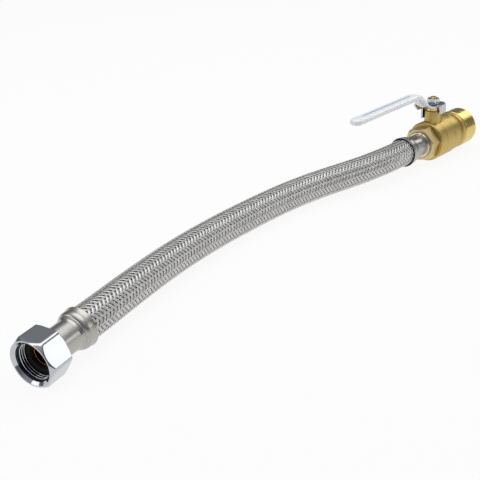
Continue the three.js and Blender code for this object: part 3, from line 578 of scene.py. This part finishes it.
def off_axis(finish):
    """How far a point lies from the nut's axis."""
    spot = finish.node("ShaderNodeVectorMath", {"operation": "SUBTRACT"},
                       {0: finish.place, 1: tuple(nut_place.translation)})
    across = finish.node("ShaderNodeVectorMath", {"operation": "CROSS_PRODUCT"},
                         {0: spot, 1: tuple(nut_axis)})
    return finish.node("ShaderNodeVectorMath", {"operation": "LENGTH"}, {0: across}, "Value")


def polished_chrome(name, thread_shade=False):
    """Chrome plate; on request the roots of the nut's thread are painted near-black, as painted shade deep
    in the bore.
    """
    finish = Finish(name)
    ripple = finish.noise(55.0, detail=2.0)
    fine = finish.noise(900.0, detail=2.0)
    colour = finish.between(ripple, CHROME_DARK, CHROME_LIGHT)
    # Painted shade: round the thread's roots, out to just past the bore, the chrome is coloured near-black
    # and only the crests keep it.
    if thread_shade:
        radius = off_axis(finish)
        inside = radius.math("LESS_THAN", (NUT_THREAD_RADIUS + THREAD_MARGIN) * MM)
        below = radius.math("GREATER_THAN", (NUT_THREAD_RADIUS - THREAD_BRIGHT * THREAD_DEPTH) * MM)
        colour = finish.between(inside * below, colour, THREAD_PAINTED_SHADE)
    return finish.surface({
        "Base Color": colour,
        "Metallic": 1.0,
        "Roughness": 0.07 + fine * 0.06,
        "Normal": finish.bump(ripple, CHROME_RIPPLE),
    })


def dress(piece, node, body, material):
    """Puts a piece in the place of a CAD node."""
    piece.data.materials.clear()
    piece.data.materials.append(material)
    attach(piece, body)
    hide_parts(node)


def cut_nut():
    corner = corner_radius(NUT_ACROSS_FLATS)
    rear = NUT_LENGTH - NUT_REAR_CHAMFER
    rim = corner + NUT_EDGE * EDGE_SHARPNESS

    def outside(station, radius):
        return hexed(station, radius, NUT_ACROSS_FLATS, 0, NUT_EDGE, NUT_FILLET)

    rings = [(NUT_MOUTH_EDGE, NUT_MOUTH_RADIUS - NUT_MOUTH_EDGE), (0, NUT_MOUTH_RADIUS),
             (0, NUT_RING_RADIUS - NUT_RING_EDGE)]
    rings += front_chamfer(outside, 0, NUT_FRONT_CHAMFER, NUT_RING_RADIUS, corner)
    rings += [outside(x, rim) for x in steps_between(NUT_FRONT_CHAMFER * FLATS_START, rear, count=6)]
    rings += [outside(NUT_LENGTH - drop, corner - (NUT_REAR_CHAMFER - drop) / CHAMFER_SLOPE)
              for drop in NUT_REAR_DROPS]
    rings += [(NUT_LENGTH, NUT_HOLE_RADIUS), (NUT_FLOOR, NUT_HOLE_RADIUS), (NUT_FLOOR, NUT_THREAD_RADIUS)]
    thread_end = NUT_FLOOR - THREAD_RUNOUT
    turns = (thread_end - THREAD_START) / THREAD_PITCH
    rings += [threaded(x) for x in steps_between(thread_end, THREAD_START, round(turns * THREAD_RINGS))]
    return turned("hex_nut", nut_place, rings, HEX_SIDES)


# The nut's chrome carries painted shade in the roots of its thread.
dress(cut_nut(), "swivel_nut", "nut", polished_chrome("chrome_plate_thread_shade", thread_shade=True))

# Washer and tailpiece
# A flat rubber washer lies on the flange of a turned brass tailpiece, which runs back through the nut
# and the ferrule into the hose.
WASHER_RADIUS = 13.0
WASHER_FRONT = 9.0
WASHER_BACK = 11.4
WASHER_HOLE = 8.7
FLANGE_STATION = 11.7
FLANGE_BACK = 13.5
FLANGE_RADIUS = 12.7
NIPPLE_RADIUS = 8.4
NIPPLE_BORE = 7.2
TAILPIECE_END = 54.9
NIPPLE_TIP_CHAMFER = 0.7
BRASS_DARK = (0.62, 0.43, 0.12)
BRASS_LIGHT = (0.80, 0.60, 0.22)
BORE_STAIN = (0.50, 0.15, 0.08)
BORE_MARGIN = 0.2
X_AXIS = (1, 0, 0)


def turned_metal(name, dark, light, roughness, axis, marks, depth, stain=None):
    """A turned metal part: fine tool marks round its axis, a faint mottle, and a stain inside a bore."""
    finish = Finish(name)
    station = finish.node("ShaderNodeVectorMath", {"operation": "DOT_PRODUCT"},
                          {0: finish.place, 1: axis}, "Value")
    rings = finish.node("ShaderNodeTexNoise", {"noise_dimensions": "1D"},
                        {"W": station, "Scale": marks, "Detail": 2.0})
    mottle = finish.noise(120.0, detail=4.0)
    grain = finish.noise(2600.0, detail=1.0)
    colour = finish.between(rings * 0.45 + mottle * 0.55, (*dark, 1), (*light, 1))
    if stain:
        bore = off_axis(finish).math("LESS_THAN", (NIPPLE_BORE + BORE_MARGIN) * MM)
        colour = finish.between(bore, colour, (*stain, 1))
    return finish.surface({
        "Base Color": colour,
        "Metallic": 1.0,
        "Roughness": roughness + mottle * 0.16 - 0.08,
        "Normal": finish.bump(rings * 0.6 + grain * 0.4, depth),
    })


turned_brass = turned_metal("turned_brass", BRASS_DARK, BRASS_LIGHT, roughness=0.27, axis=X_AXIS,
                            marks=1500.0, depth=0.02 * MM)
washer = turned("flat_washer", nut_place, rounded([
    (WASHER_FRONT, WASHER_RADIUS), (WASHER_BACK, WASHER_RADIUS), (WASHER_BACK, WASHER_HOLE),
    (WASHER_FRONT, WASHER_HOLE)]))
dress(washer, "sealing_washer", "nut", rubber)
tailpiece = turned("brass_tailpiece", nut_place, rounded([
    (FLANGE_STATION, FLANGE_RADIUS), (FLANGE_BACK, FLANGE_RADIUS), (FLANGE_BACK, NIPPLE_RADIUS),
    (TAILPIECE_END - NIPPLE_TIP_CHAMFER, NIPPLE_RADIUS),
    (TAILPIECE_END, NIPPLE_RADIUS - NIPPLE_TIP_CHAMFER), (TAILPIECE_END, NIPPLE_BORE),
    (FLANGE_STATION, NIPPLE_BORE)]))
stained_brass = turned_metal("stained_brass", BRASS_DARK, BRASS_LIGHT, roughness=0.27, axis=X_AXIS,
                             marks=1500.0, depth=0.02 * MM, stain=BORE_STAIN)
dress(tailpiece, "inlet_tailpiece", "root", stained_brass)

# Ferrules
# Two drawn stainless ferrules, rolled to a step and a cup that is crimped down on the hose. A black ring
# in each cup's mouth is painted shade, for the dark gap between cup and braid. The small flange of each is
# rolled bright, and meets the fitting.
FERRULE_STATION = 18.4
FERRULE_PROFILE = [
    (0, 11.0), (16.9, 11.0), (18.2, 11.5), (19.1, 12.25), (19.5, 12.3), (19.8, 12.05), (20.1, 12.1),
    (20.7, 12.9), (21.7, 13.6), (23.2, 13.9), (25.4, 13.9), (27.3, 14.2), (28.1, 14.5), (28.5, 14.4),
    (28.5, 13.9), (26.2, 13.7), (26.2, 13.0), (21.3, 13.0), (21.3, 8.7), (0, 8.7),
]
FLANGE_PROFILE = [(0, 12.3), (0.5, 12.6), (1.1, 12.6), (1.6, 12.2), (1.6, 10.8), (0, 10.8)]
# The next profile is a black ring put in the cup's mouth as painted shade.
MOUTH_SHADE_RING_PROFILE = [(26.4, 12.8), (27.9, 12.8), (27.9, 13.7), (26.4, 13.5)]
OUTLET_FERRULE_STATION = -23.3

stem_down = joints["lever_turn"]["axis"]
valve_lean = math.atan2(stem_down[1], -stem_down[2])
valve_place = Matrix.Translation(joints["lever_turn"]["pos_m"]) @ Matrix.Rotation(valve_lean, 4, "X")


def ferrule(name, place, node, axis):
    """One ferrule in satin steel, with its bright flange and a black ring in its mouth as painted shade.
    """
    satin = turned_metal(name + "_steel", (0.36, 0.352, 0.33), (0.515, 0.503, 0.477), roughness=0.30,
                         axis=axis, marks=2200.0, depth=0.012 * MM)
    dress(turned(name, place, rounded(FERRULE_PROFILE, fillet=0.3)), node, "root", satin)
    bright = turned_metal(name + "_flange_steel", (0.70, 0.695, 0.68), (0.84, 0.83, 0.81), roughness=0.20,
                          axis=axis, marks=2200.0, depth=0.012 * MM)
    # The black ring is painted shade: dark rubber filling the gap between the cup's mouth and the braid.
    for part, profile, slot, material in (
            ("_flange", FLANGE_PROFILE, "stainless", bright),
            ("_ring", MOUTH_SHADE_RING_PROFILE, "rubber", rubber)):
        ring = turned(name + part, place, rounded(profile))
        ring.data.materials.append(material)
        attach(ring, "root")


ferrule("nut_ferrule", nut_place @ Matrix.Translation((FERRULE_STATION * MM, 0, 0)), "inlet_ferrule",
        tuple(nut_axis))
ferrule("valve_ferrule", valve_place @ Matrix.Translation((OUTLET_FERRULE_STATION * MM, 0, 0))
        @ Matrix.Rotation(math.pi, 4, "Z"), "outlet_ferrule", X_AXIS)

# Hexagon end
# A forged brass end with a hexagon for the spanner, screwed into the body. Its face is recessed round
# the ferrule's flange.
HEX_ACROSS_FLATS = 30.2
HEX_FIRST_CORNER = math.radians(48)
HEX_END = -24.0
HEX_REAR = -12.0
HEX_FACE_RADIUS = 15.3
HEX_REAR_CHAMFER = 0.4
HEX_NECK = -6.0
HEX_NECK_RADIUS = 15.0
HEX_EDGE = 0.5
HEX_LIP = 0.15
HEX_FACE_EDGE = 0.2
HEX_RECESS = 12.9
HEX_FLOOR = -23.0
HEX_BORE = 10.9
HEX_BORE_FLOOR = -15.5
WATERWAY = 9.3


def cut_hexagon_end():
    corner = corner_radius(HEX_ACROSS_FLATS)
    chamfer = (corner - HEX_FACE_RADIUS) * CHAMFER_SLOPE
    rim = corner + HEX_EDGE * EDGE_SHARPNESS
    rear = HEX_REAR - HEX_REAR_CHAMFER

    def outside(station, radius):
        return hexed(station, radius, HEX_ACROSS_FLATS, HEX_FIRST_CORNER, HEX_EDGE)

    rings = [(HEX_FLOOR, HEX_RECESS), (HEX_END + HEX_LIP, HEX_RECESS), (HEX_END, HEX_RECESS + HEX_LIP),
             (HEX_END, HEX_FACE_RADIUS - HEX_FACE_EDGE)]
    rings += front_chamfer(outside, HEX_END, chamfer, HEX_FACE_RADIUS, corner)
    rings += [outside(x, rim) for x in steps_between(HEX_END + chamfer * FLATS_START, rear, count=5)]
    rings += [outside(HEX_REAR - HEX_REAR_CHAMFER * (1 - t), corner - HEX_REAR_CHAMFER / CHAMFER_SLOPE * t)
              for t in steps_between(0, 1, count=4)]
    rings += [(HEX_REAR, HEX_NECK_RADIUS), (HEX_NECK, HEX_NECK_RADIUS), (HEX_NECK, WATERWAY),
              (HEX_BORE_FLOOR, WATERWAY), (HEX_BORE_FLOOR, HEX_BORE), (HEX_FLOOR, HEX_BORE)]
    return turned("hexagon_end", valve_place, rings, HEX_SIDES)


pale_brass = turned_metal("pale_brass", (0.60, 0.46, 0.21), (0.76, 0.60, 0.31), roughness=0.42,
                          axis=X_AXIS, marks=700.0, depth=0.03 * MM)
dress(cut_hexagon_end(), "end_connector", "root", pale_brass)

# Valve body
# One forging in brass, turned outside with two fine lines and a shoulder, with the stem's bonnet
# standing on it. It narrows to the neck that the push-fit cap is pressed on.
BODY_RADIUS = 19.6
BODY_LINE = 0.5
BODY_PROFILE = [
    (-11.7, 18.5), (-10.7, BODY_RADIUS), (-1.3 - BODY_LINE, BODY_RADIUS), (-1.3, BODY_RADIUS - BODY_LINE),
    (-1.3 + BODY_LINE, BODY_RADIUS), (13.5 - BODY_LINE, BODY_RADIUS), (13.5, BODY_RADIUS - BODY_LINE),
    (13.5 + BODY_LINE, BODY_RADIUS), (16.0, BODY_RADIUS), (16.6, 18.9), (25.0, 18.9), (26.4, 16.6),
    (30.4, 16.6), (31.2, 18.4), (35.2, 18.4), (35.2, 16.3), (42.0, 16.3), (42.0, 14.9), (34.0, 14.9),
    (34.0, 11.4), (18.0, 11.4), (18.0, WATERWAY), (13.0, WATERWAY), (13.0, 13.9), (6.0, 13.9),
    (6.0, 15.3), (-11.7, 15.3),
]
BODY_SIDES = 128
BONNET_BASE = 8.2
BONNET_FLARE = 0.9
BONNET_FLARE_START = 0.15
BONNET_SINK = -2.4
BONNET_SEAM = -0.1
BONNET_TAPER = [(24.0, 7.95), (27.0, 7.7)]
BONNET_TOP_RADIUS = 7.4
BONNET_TOP = 30.0
BONNET_EDGE = 0.5
BONNET_EDGE_MIDDLE = 0.15
BONNET_SIDES = 72
GLAND_RADIUS = 5.7
GLAND_FLOOR = 22.0
STEM_HOLE = 4.3
STEM_HOLE_FOOT = 17.2
stem_place = valve_place @ Matrix.Rotation(-math.pi / 2, 4, "Y")


def saddle(radius, lift):
    """A ring of the bonnet that follows the round body below it."""
    def ring(angle):
        return math.sqrt(BODY_RADIUS ** 2 - (radius * math.cos(angle)) ** 2) + lift, radius
    return ring


def join(name, first, second):
    """Two pieces made one mesh."""
    body = bmesh.new()
    body.from_mesh(first.data)
    body.from_mesh(second.data)
    bpy.data.objects.remove(second)
    bpy.data.objects.remove(first)
    return finished(name, body)


def forge_body():
    """The body with its bonnet, whose foot flares out on the round body."""
    barrel = turned("barrel", valve_place, rounded(BODY_PROFILE, fillet=0.3), BODY_SIDES)
    rings = [saddle(BONNET_BASE - 1, BONNET_SINK), saddle(BONNET_BASE + BONNET_FLARE, BONNET_SEAM)]
    rings += [saddle(BONNET_BASE + BONNET_FLARE * (1 - t) ** 2, BONNET_FLARE * t ** 1.5)
              for t in steps_between(BONNET_FLARE_START, 1, count=5)]
    rings += BONNET_TAPER
    rings += [(BONNET_TOP - BONNET_EDGE, BONNET_TOP_RADIUS),
              (BONNET_TOP - BONNET_EDGE_MIDDLE, BONNET_TOP_RADIUS - BONNET_EDGE_MIDDLE),
              (BONNET_TOP, BONNET_TOP_RADIUS - BONNET_EDGE), (BONNET_TOP, GLAND_RADIUS),
              (GLAND_FLOOR, GLAND_RADIUS), (GLAND_FLOOR, STEM_HOLE), (STEM_HOLE_FOOT, STEM_HOLE)]
    return join("forged_body", barrel, turned("bonnet", stem_place, rings, BONNET_SIDES))


forged_brass = turned_metal("forged_brass", (0.48, 0.35, 0.11), (0.62, 0.465, 0.155), roughness=0.40,
                            axis=X_AXIS, marks=700.0, depth=0.03 * MM)
dress(forge_body(), "valve_body", "root", forged_brass)

# Push-fit cap and collar
# A turned brass cap is pressed over the body's neck and holds the stack that grips and seals the tube:
# o-ring, spacer, toothed ring and a moulded collar that releases it.
CAP_PROFILE = [
    (35.5, 18.0), (36.2, 18.9), (53.1, 18.9), (54.0, 18.0), (54.0, 12.9), (48.7, 12.9), (48.7, 14.1),
    (43.2, 14.1), (43.2, 16.6), (35.5, 16.6),
]
COLLAR_PROFILE = [
    (45.2, 13.2), (45.8, 13.8), (48.4, 13.8), (48.4, 12.6), (55.5, 12.6), (55.5, 11.7), (45.2, 11.7),
]
bright_brass = turned_metal("bright_brass", (0.62, 0.465, 0.135), (0.78, 0.60, 0.21), roughness=0.24,
                            axis=X_AXIS, marks=1800.0, depth=0.015 * MM)
dark_plastic = plain_finish("dark_plastic", (0.028, 0.03, 0.034), (0.05, 0.053, 0.058), roughness=0.38,
                            grain=500.0, depth=0.02 * MM)
push_cap = turned("push_cap", valve_place, rounded(CAP_PROFILE, fillet=0.4), BODY_SIDES)
dress(push_cap, "push_fit_cap", "root", bright_brass)
push_collar = turned("push_collar", valve_place, rounded(COLLAR_PROFILE))
dress(push_collar, "release_collar", "collar", dark_plastic)
coat("o_ring_spacer", dark_plastic)
coat("sealing_o_ring", rubber)
coat("insert_o_ring", rubber)
spring_steel = turned_metal("spring_steel", (0.45, 0.445, 0.43), (0.62, 0.61, 0.59), roughness=0.24,
                            axis=X_AXIS, marks=900.0, depth=0.01 * MM)
coat("grab_ring", spring_steel)
coat("outlet_insert", turned_brass)

# Ball and seats
# A chrome plated ball with a round waterway turns between two white seats, which show only through
# the socket.
seat_white = plain_finish("seat_white", (0.74, 0.73, 0.70), (0.84, 0.83, 0.80), roughness=0.36,
                          grain=400.0, depth=0.01 * MM)
coat("ball", polished_chrome("ball_chrome"))
for seat in ("hose_side_seat", "outlet_side_seat", "stem_washer", "stem_packing"):
    coat(seat, seat_white)

# Packing nut and stem
# The brass packing nut has six spanner notches and presses the packing down round the brass stem,
# whose thread comes up through the lever.
PACKING_NUT_FOOT = 25.3
PACKING_NUT_HEAD = 30.3
PACKING_NUT_TOP = 33.2
PACKING_NUT_RADIUS = 6.4
PACKING_NUT_FOOT_RADIUS = 5.4
PACKING_NUT_NOTCHES = 6
NOTCH_HALF_ANGLE = math.radians(9)
NOTCH_RADIUS = 4.7
NOTCH_FLOOR = 31.75
NOTCH_WALL = 0.05
STEM_PROFILE = [
    (15.4, 0), (15.4, 5.4), (17.4, 5.4), (17.4, 4.0), (36.0, 4.0), (36.0, 2.9), (43.0, 2.9),
    (43.2, 2.6), (43.2, 0),
]


def notched(station):
    """A ring of the packing nut's head, cut back at each notch."""
    def ring(angle):
        pitch = math.tau / PACKING_NUT_NOTCHES
        off = abs((angle + pitch / 2) % pitch - pitch / 2)
        return station, NOTCH_RADIUS if off < NOTCH_HALF_ANGLE else PACKING_NUT_RADIUS
    return ring


stem_brass = turned_metal("stem_brass", (0.60, 0.42, 0.12), BRASS_LIGHT, roughness=0.24,
                          axis=tuple(-Vector(stem_down)), marks=1600.0, depth=0.02 * MM)
packing_nut = turned("notched_nut", stem_place, [
    (PACKING_NUT_FOOT, STEM_HOLE), (PACKING_NUT_FOOT, PACKING_NUT_FOOT_RADIUS),
    (PACKING_NUT_HEAD, PACKING_NUT_FOOT_RADIUS), (PACKING_NUT_HEAD, PACKING_NUT_RADIUS),
    (NOTCH_FLOOR - NOTCH_WALL, PACKING_NUT_RADIUS), notched(NOTCH_FLOOR), notched(PACKING_NUT_TOP),
    (PACKING_NUT_TOP, STEM_HOLE)], sides=120)
dress(packing_nut, "packing_nut", "root", stem_brass)
stem = turned("brass_stem", stem_place, rounded(STEM_PROFILE, fillet=0.2), sides=48)
dress(stem, "stem", "lever", stem_brass)

# Lever
# Pressed from steel strip and zinc plated. Two ears turn down beside the bonnet, and the strip steps
# up into the grip.
EDGE_ROUND = 0.3
EDGE_STEPS = 2
EDGE_ANGLE = math.radians(35)
FLAT_ANGLE = math.radians(2)
ZINC_DARK = (0.42, 0.44, 0.47, 1)
ZINC_LIGHT = (0.62, 0.64, 0.67, 1)


def pressed_steel():
    """Zinc plate: bright, faintly blue, a little cloudy, with fine marks along the strip."""
    finish = Finish("zinc_plate")
    stretch = finish.node("ShaderNodeMapping", None, {"Vector": finish.place, "Scale": (0.12, 1.0, 1.0)})
    marks = finish.noise(1800.0, detail=2.0, vector=stretch)
    cloud = finish.noise(160.0, detail=4.0)
    return finish.surface({
        "Base Color": finish.between(cloud, ZINC_DARK, ZINC_LIGHT),
        "Metallic": 1.0,
        "Roughness": 0.10 + cloud * 0.14,
        "Normal": finish.bump(marks, depth=0.012 * MM),
    })


def press_lever():
    """The CAD lever with its faces merged and its sharp edges rounded."""
    body = bmesh.new()
    body.from_mesh(frame["nodes"]["lever_handle"].data)
    bmesh.ops.remove_doubles(body, verts=body.verts, dist=MERGE_DISTANCE)
    bmesh.ops.dissolve_limit(body, angle_limit=FLAT_ANGLE, verts=body.verts, edges=body.edges)
    piece = new_piece("pressed_lever", body)
    edges = piece.modifiers.new("edges", "BEVEL")
    edges.width = EDGE_ROUND * MM
    edges.segments = EDGE_STEPS
    edges.limit_method = "ANGLE"
    edges.angle_limit = EDGE_ANGLE
    return flat_faced(piece)


zinc = pressed_steel()
dress(press_lever(), "lever_handle", "lever", zinc)

# Lock washer and lever nut
# A plated hexagon nut on the stem's thread holds the lever down over a lock washer. Both are steel, and
# the nut's upper corners are turned off.
LEVER_NUT_ACROSS_FLATS = 10.4
LEVER_NUT_BOTTOM = 37.5
LEVER_NUT_TOP = 41.7
LEVER_NUT_HOLE = 3.2
LEVER_NUT_EDGE = 0.2
LEVER_NUT_LEAD = 0.5
LEVER_NUT_CROWN_START = 0.05
LEVER_NUT_FIRST_CORNER = math.pi / 6
LOCK_WASHER_BOTTOM = 36.3
LOCK_WASHER_TOP = 37.2
LOCK_WASHER_RADIUS = 5.6


def cut_lever_nut():
    corner = corner_radius(LEVER_NUT_ACROSS_FLATS)
    crown = (corner - LEVER_NUT_ACROSS_FLATS / 2) * CHAMFER_SLOPE
    start = LEVER_NUT_TOP - crown

    def outside(station, radius):
        return hexed(station, radius, LEVER_NUT_ACROSS_FLATS, LEVER_NUT_FIRST_CORNER, LEVER_NUT_EDGE)

    rings = [(LEVER_NUT_BOTTOM, LEVER_NUT_HOLE), outside(LEVER_NUT_BOTTOM, corner)]
    rings += [outside(x, corner + LEVER_NUT_EDGE)
              for x in steps_between(LEVER_NUT_BOTTOM + LEVER_NUT_EDGE, start, count=4)]
    rings += [outside(start + crown * t, corner - (corner - LEVER_NUT_ACROSS_FLATS / 2) * t)
              for t in steps_between(LEVER_NUT_CROWN_START, 1, count=6)]
    rings += [(LEVER_NUT_TOP, LEVER_NUT_HOLE + LEVER_NUT_LEAD),
              (LEVER_NUT_TOP - LEVER_NUT_LEAD, LEVER_NUT_HOLE)]
    return turned("lever_hex_nut", stem_place, rings)


dress(cut_lever_nut(), "lever_nut", "lever", zinc)
lock_washer = turned("spring_washer", stem_place, rounded([
    (LOCK_WASHER_BOTTOM, LEVER_NUT_HOLE), (LOCK_WASHER_BOTTOM, LOCK_WASHER_RADIUS),
    (LOCK_WASHER_TOP, LOCK_WASHER_RADIUS), (LOCK_WASHER_TOP, LEVER_NUT_HOLE)]), sides=64)
dress(lock_washer, "lock_washer", "lever", zinc)

# Grip
# White vinyl, dipped over the end of the strip in one thick, soft-edged skin. A plain blue stripe is
# printed along its back.
GRIP_LINE = [(-19.3, 40.18), (-31.0, 50.25), (-130.6, 49.05)]
GRIP_HALF_WIDTH = 6.15
GRIP_HALF_THICKNESS = 2.9
GRIP_BEND = 6.0
GRIP_BEND_STEPS = 8
GRIP_SECTIONS = 46
GRIP_CROWDING = 1.8
GRIP_SIDES = 40
GRIP_SQUARENESS = 3.2
GRIP_TIP_THINNING = 0.7
GRIP_TIP_SIZE = 0.02
VINYL_DARK = (0.88, 0.91, 0.91, 1)
VINYL_LIGHT = (0.95, 0.97, 0.97, 1)
STRIPE_BLUE = (0.16, 0.33, 0.74, 1)
STRIPE_STRENGTH = 0.7
STRIPE_HALF_WIDTH = 1.0
STRIPE_START = -42.0
STRIPE_END = -116.0


def grip_points():
    """The grip's middle line in side view, with its bend rounded and its steps closer at the tip."""
    start, bend, tip = (Vector(point) for point in GRIP_LINE)
    into = bend + (start - bend).normalized() * GRIP_BEND
    out = bend + (tip - bend).normalized() * GRIP_BEND
    points = [start]
    points += [arc_point(into, bend, out, t) for t in steps_between(0, 1, GRIP_BEND_STEPS)]
    points += [out + (tip - out) * (1 - (1 - t) ** GRIP_CROWDING)
               for t in steps_between(0.03, 1, GRIP_SECTIONS)]
    return points


def squared(angle):
    """How far a soft-cornered section of half size 1 reaches at an angle."""
    return (abs(math.cos(angle)) ** GRIP_SQUARENESS + abs(math.sin(angle)) ** GRIP_SQUARENESS) ** (
        -1 / GRIP_SQUARENESS)


def dip_grip():
    """Soft-cornered sections along the grip, which narrow to a round tip."""
    points = grip_points()
    tip = points[-1]
    body = bmesh.new()
    loops = []
    for k, point in enumerate(points):
        along = (points[min(k + 1, len(points) - 1)] - points[max(k - 1, 0)]).normalized()
        above = Vector((along.y, -along.x))
        near_tip = min((point - tip).length / GRIP_HALF_WIDTH, 1)
        plan = max(math.sqrt(1 - (1 - near_tip) ** 2), GRIP_TIP_SIZE)
        edge = 1 - (1 - near_tip) ** 5 * GRIP_TIP_THINNING
        loop = []
        for side in range(GRIP_SIDES):
            angle = math.tau * side / GRIP_SIDES
            bow = squared(angle)
            wide = math.cos(angle) * bow * GRIP_HALF_WIDTH * plan
            high = math.sin(angle) * bow * GRIP_HALF_THICKNESS * edge
            spot = Vector((point.x + above.x * high, wide, point.y + above.y * high)) * MM
            loop.append(body.verts.new(valve_place @ spot))
        loops.append(loop)
    for near, far in zip(loops, loops[1:]):
        for side in range(GRIP_SIDES):
            after = (side + 1) % GRIP_SIDES
            body.faces.new((near[side], near[after], far[after], far[side]))
    body.faces.new(loops[0])
    body.faces.new(loops[-1])
    return finished("vinyl_grip", body)


def dipped_vinyl():
    """White vinyl with the stripe on the faces that look up."""
    finish = Finish("white_vinyl")
    mottle = finish.noise(220.0, detail=2.0)
    local = finish.node("ShaderNodeVectorMath", {"operation": "SUBTRACT"},
                        {0: finish.place, 1: tuple(valve_place.translation)})
    spot = finish.node("ShaderNodeSeparateXYZ", None, {0: local})
    side = (spot.other("Y") + spot.other("Z") * math.tan(valve_lean)).math("ABSOLUTE")
    inside = side.math("LESS_THAN", STRIPE_HALF_WIDTH * MM)
    after = spot.math("LESS_THAN", STRIPE_START * MM)
    before = spot.math("GREATER_THAN", STRIPE_END * MM)
    face = finish.node("ShaderNodeNewGeometry", output="Normal")
    upward = finish.node("ShaderNodeSeparateXYZ", None, {0: face}, output="Z").math("GREATER_THAN", 0.5)
    stripe = inside * after * before * upward * STRIPE_STRENGTH
    white = finish.between(mottle, VINYL_DARK, VINYL_LIGHT)
    return finish.surface({
        "Base Color": finish.between(stripe, white, STRIPE_BLUE),
        "Roughness": 0.30 + mottle * 0.1,
        "Normal": finish.bump(mottle, depth=0.012 * MM),
        "Coat Weight": 0.25,
        "Subsurface Weight": 0.15,
        "Subsurface Radius": (0.004, 0.004, 0.004),
        "Subsurface Scale": 1.0,
    })


dress(dip_grip(), "lever_grip", "lever", dipped_vinyl())
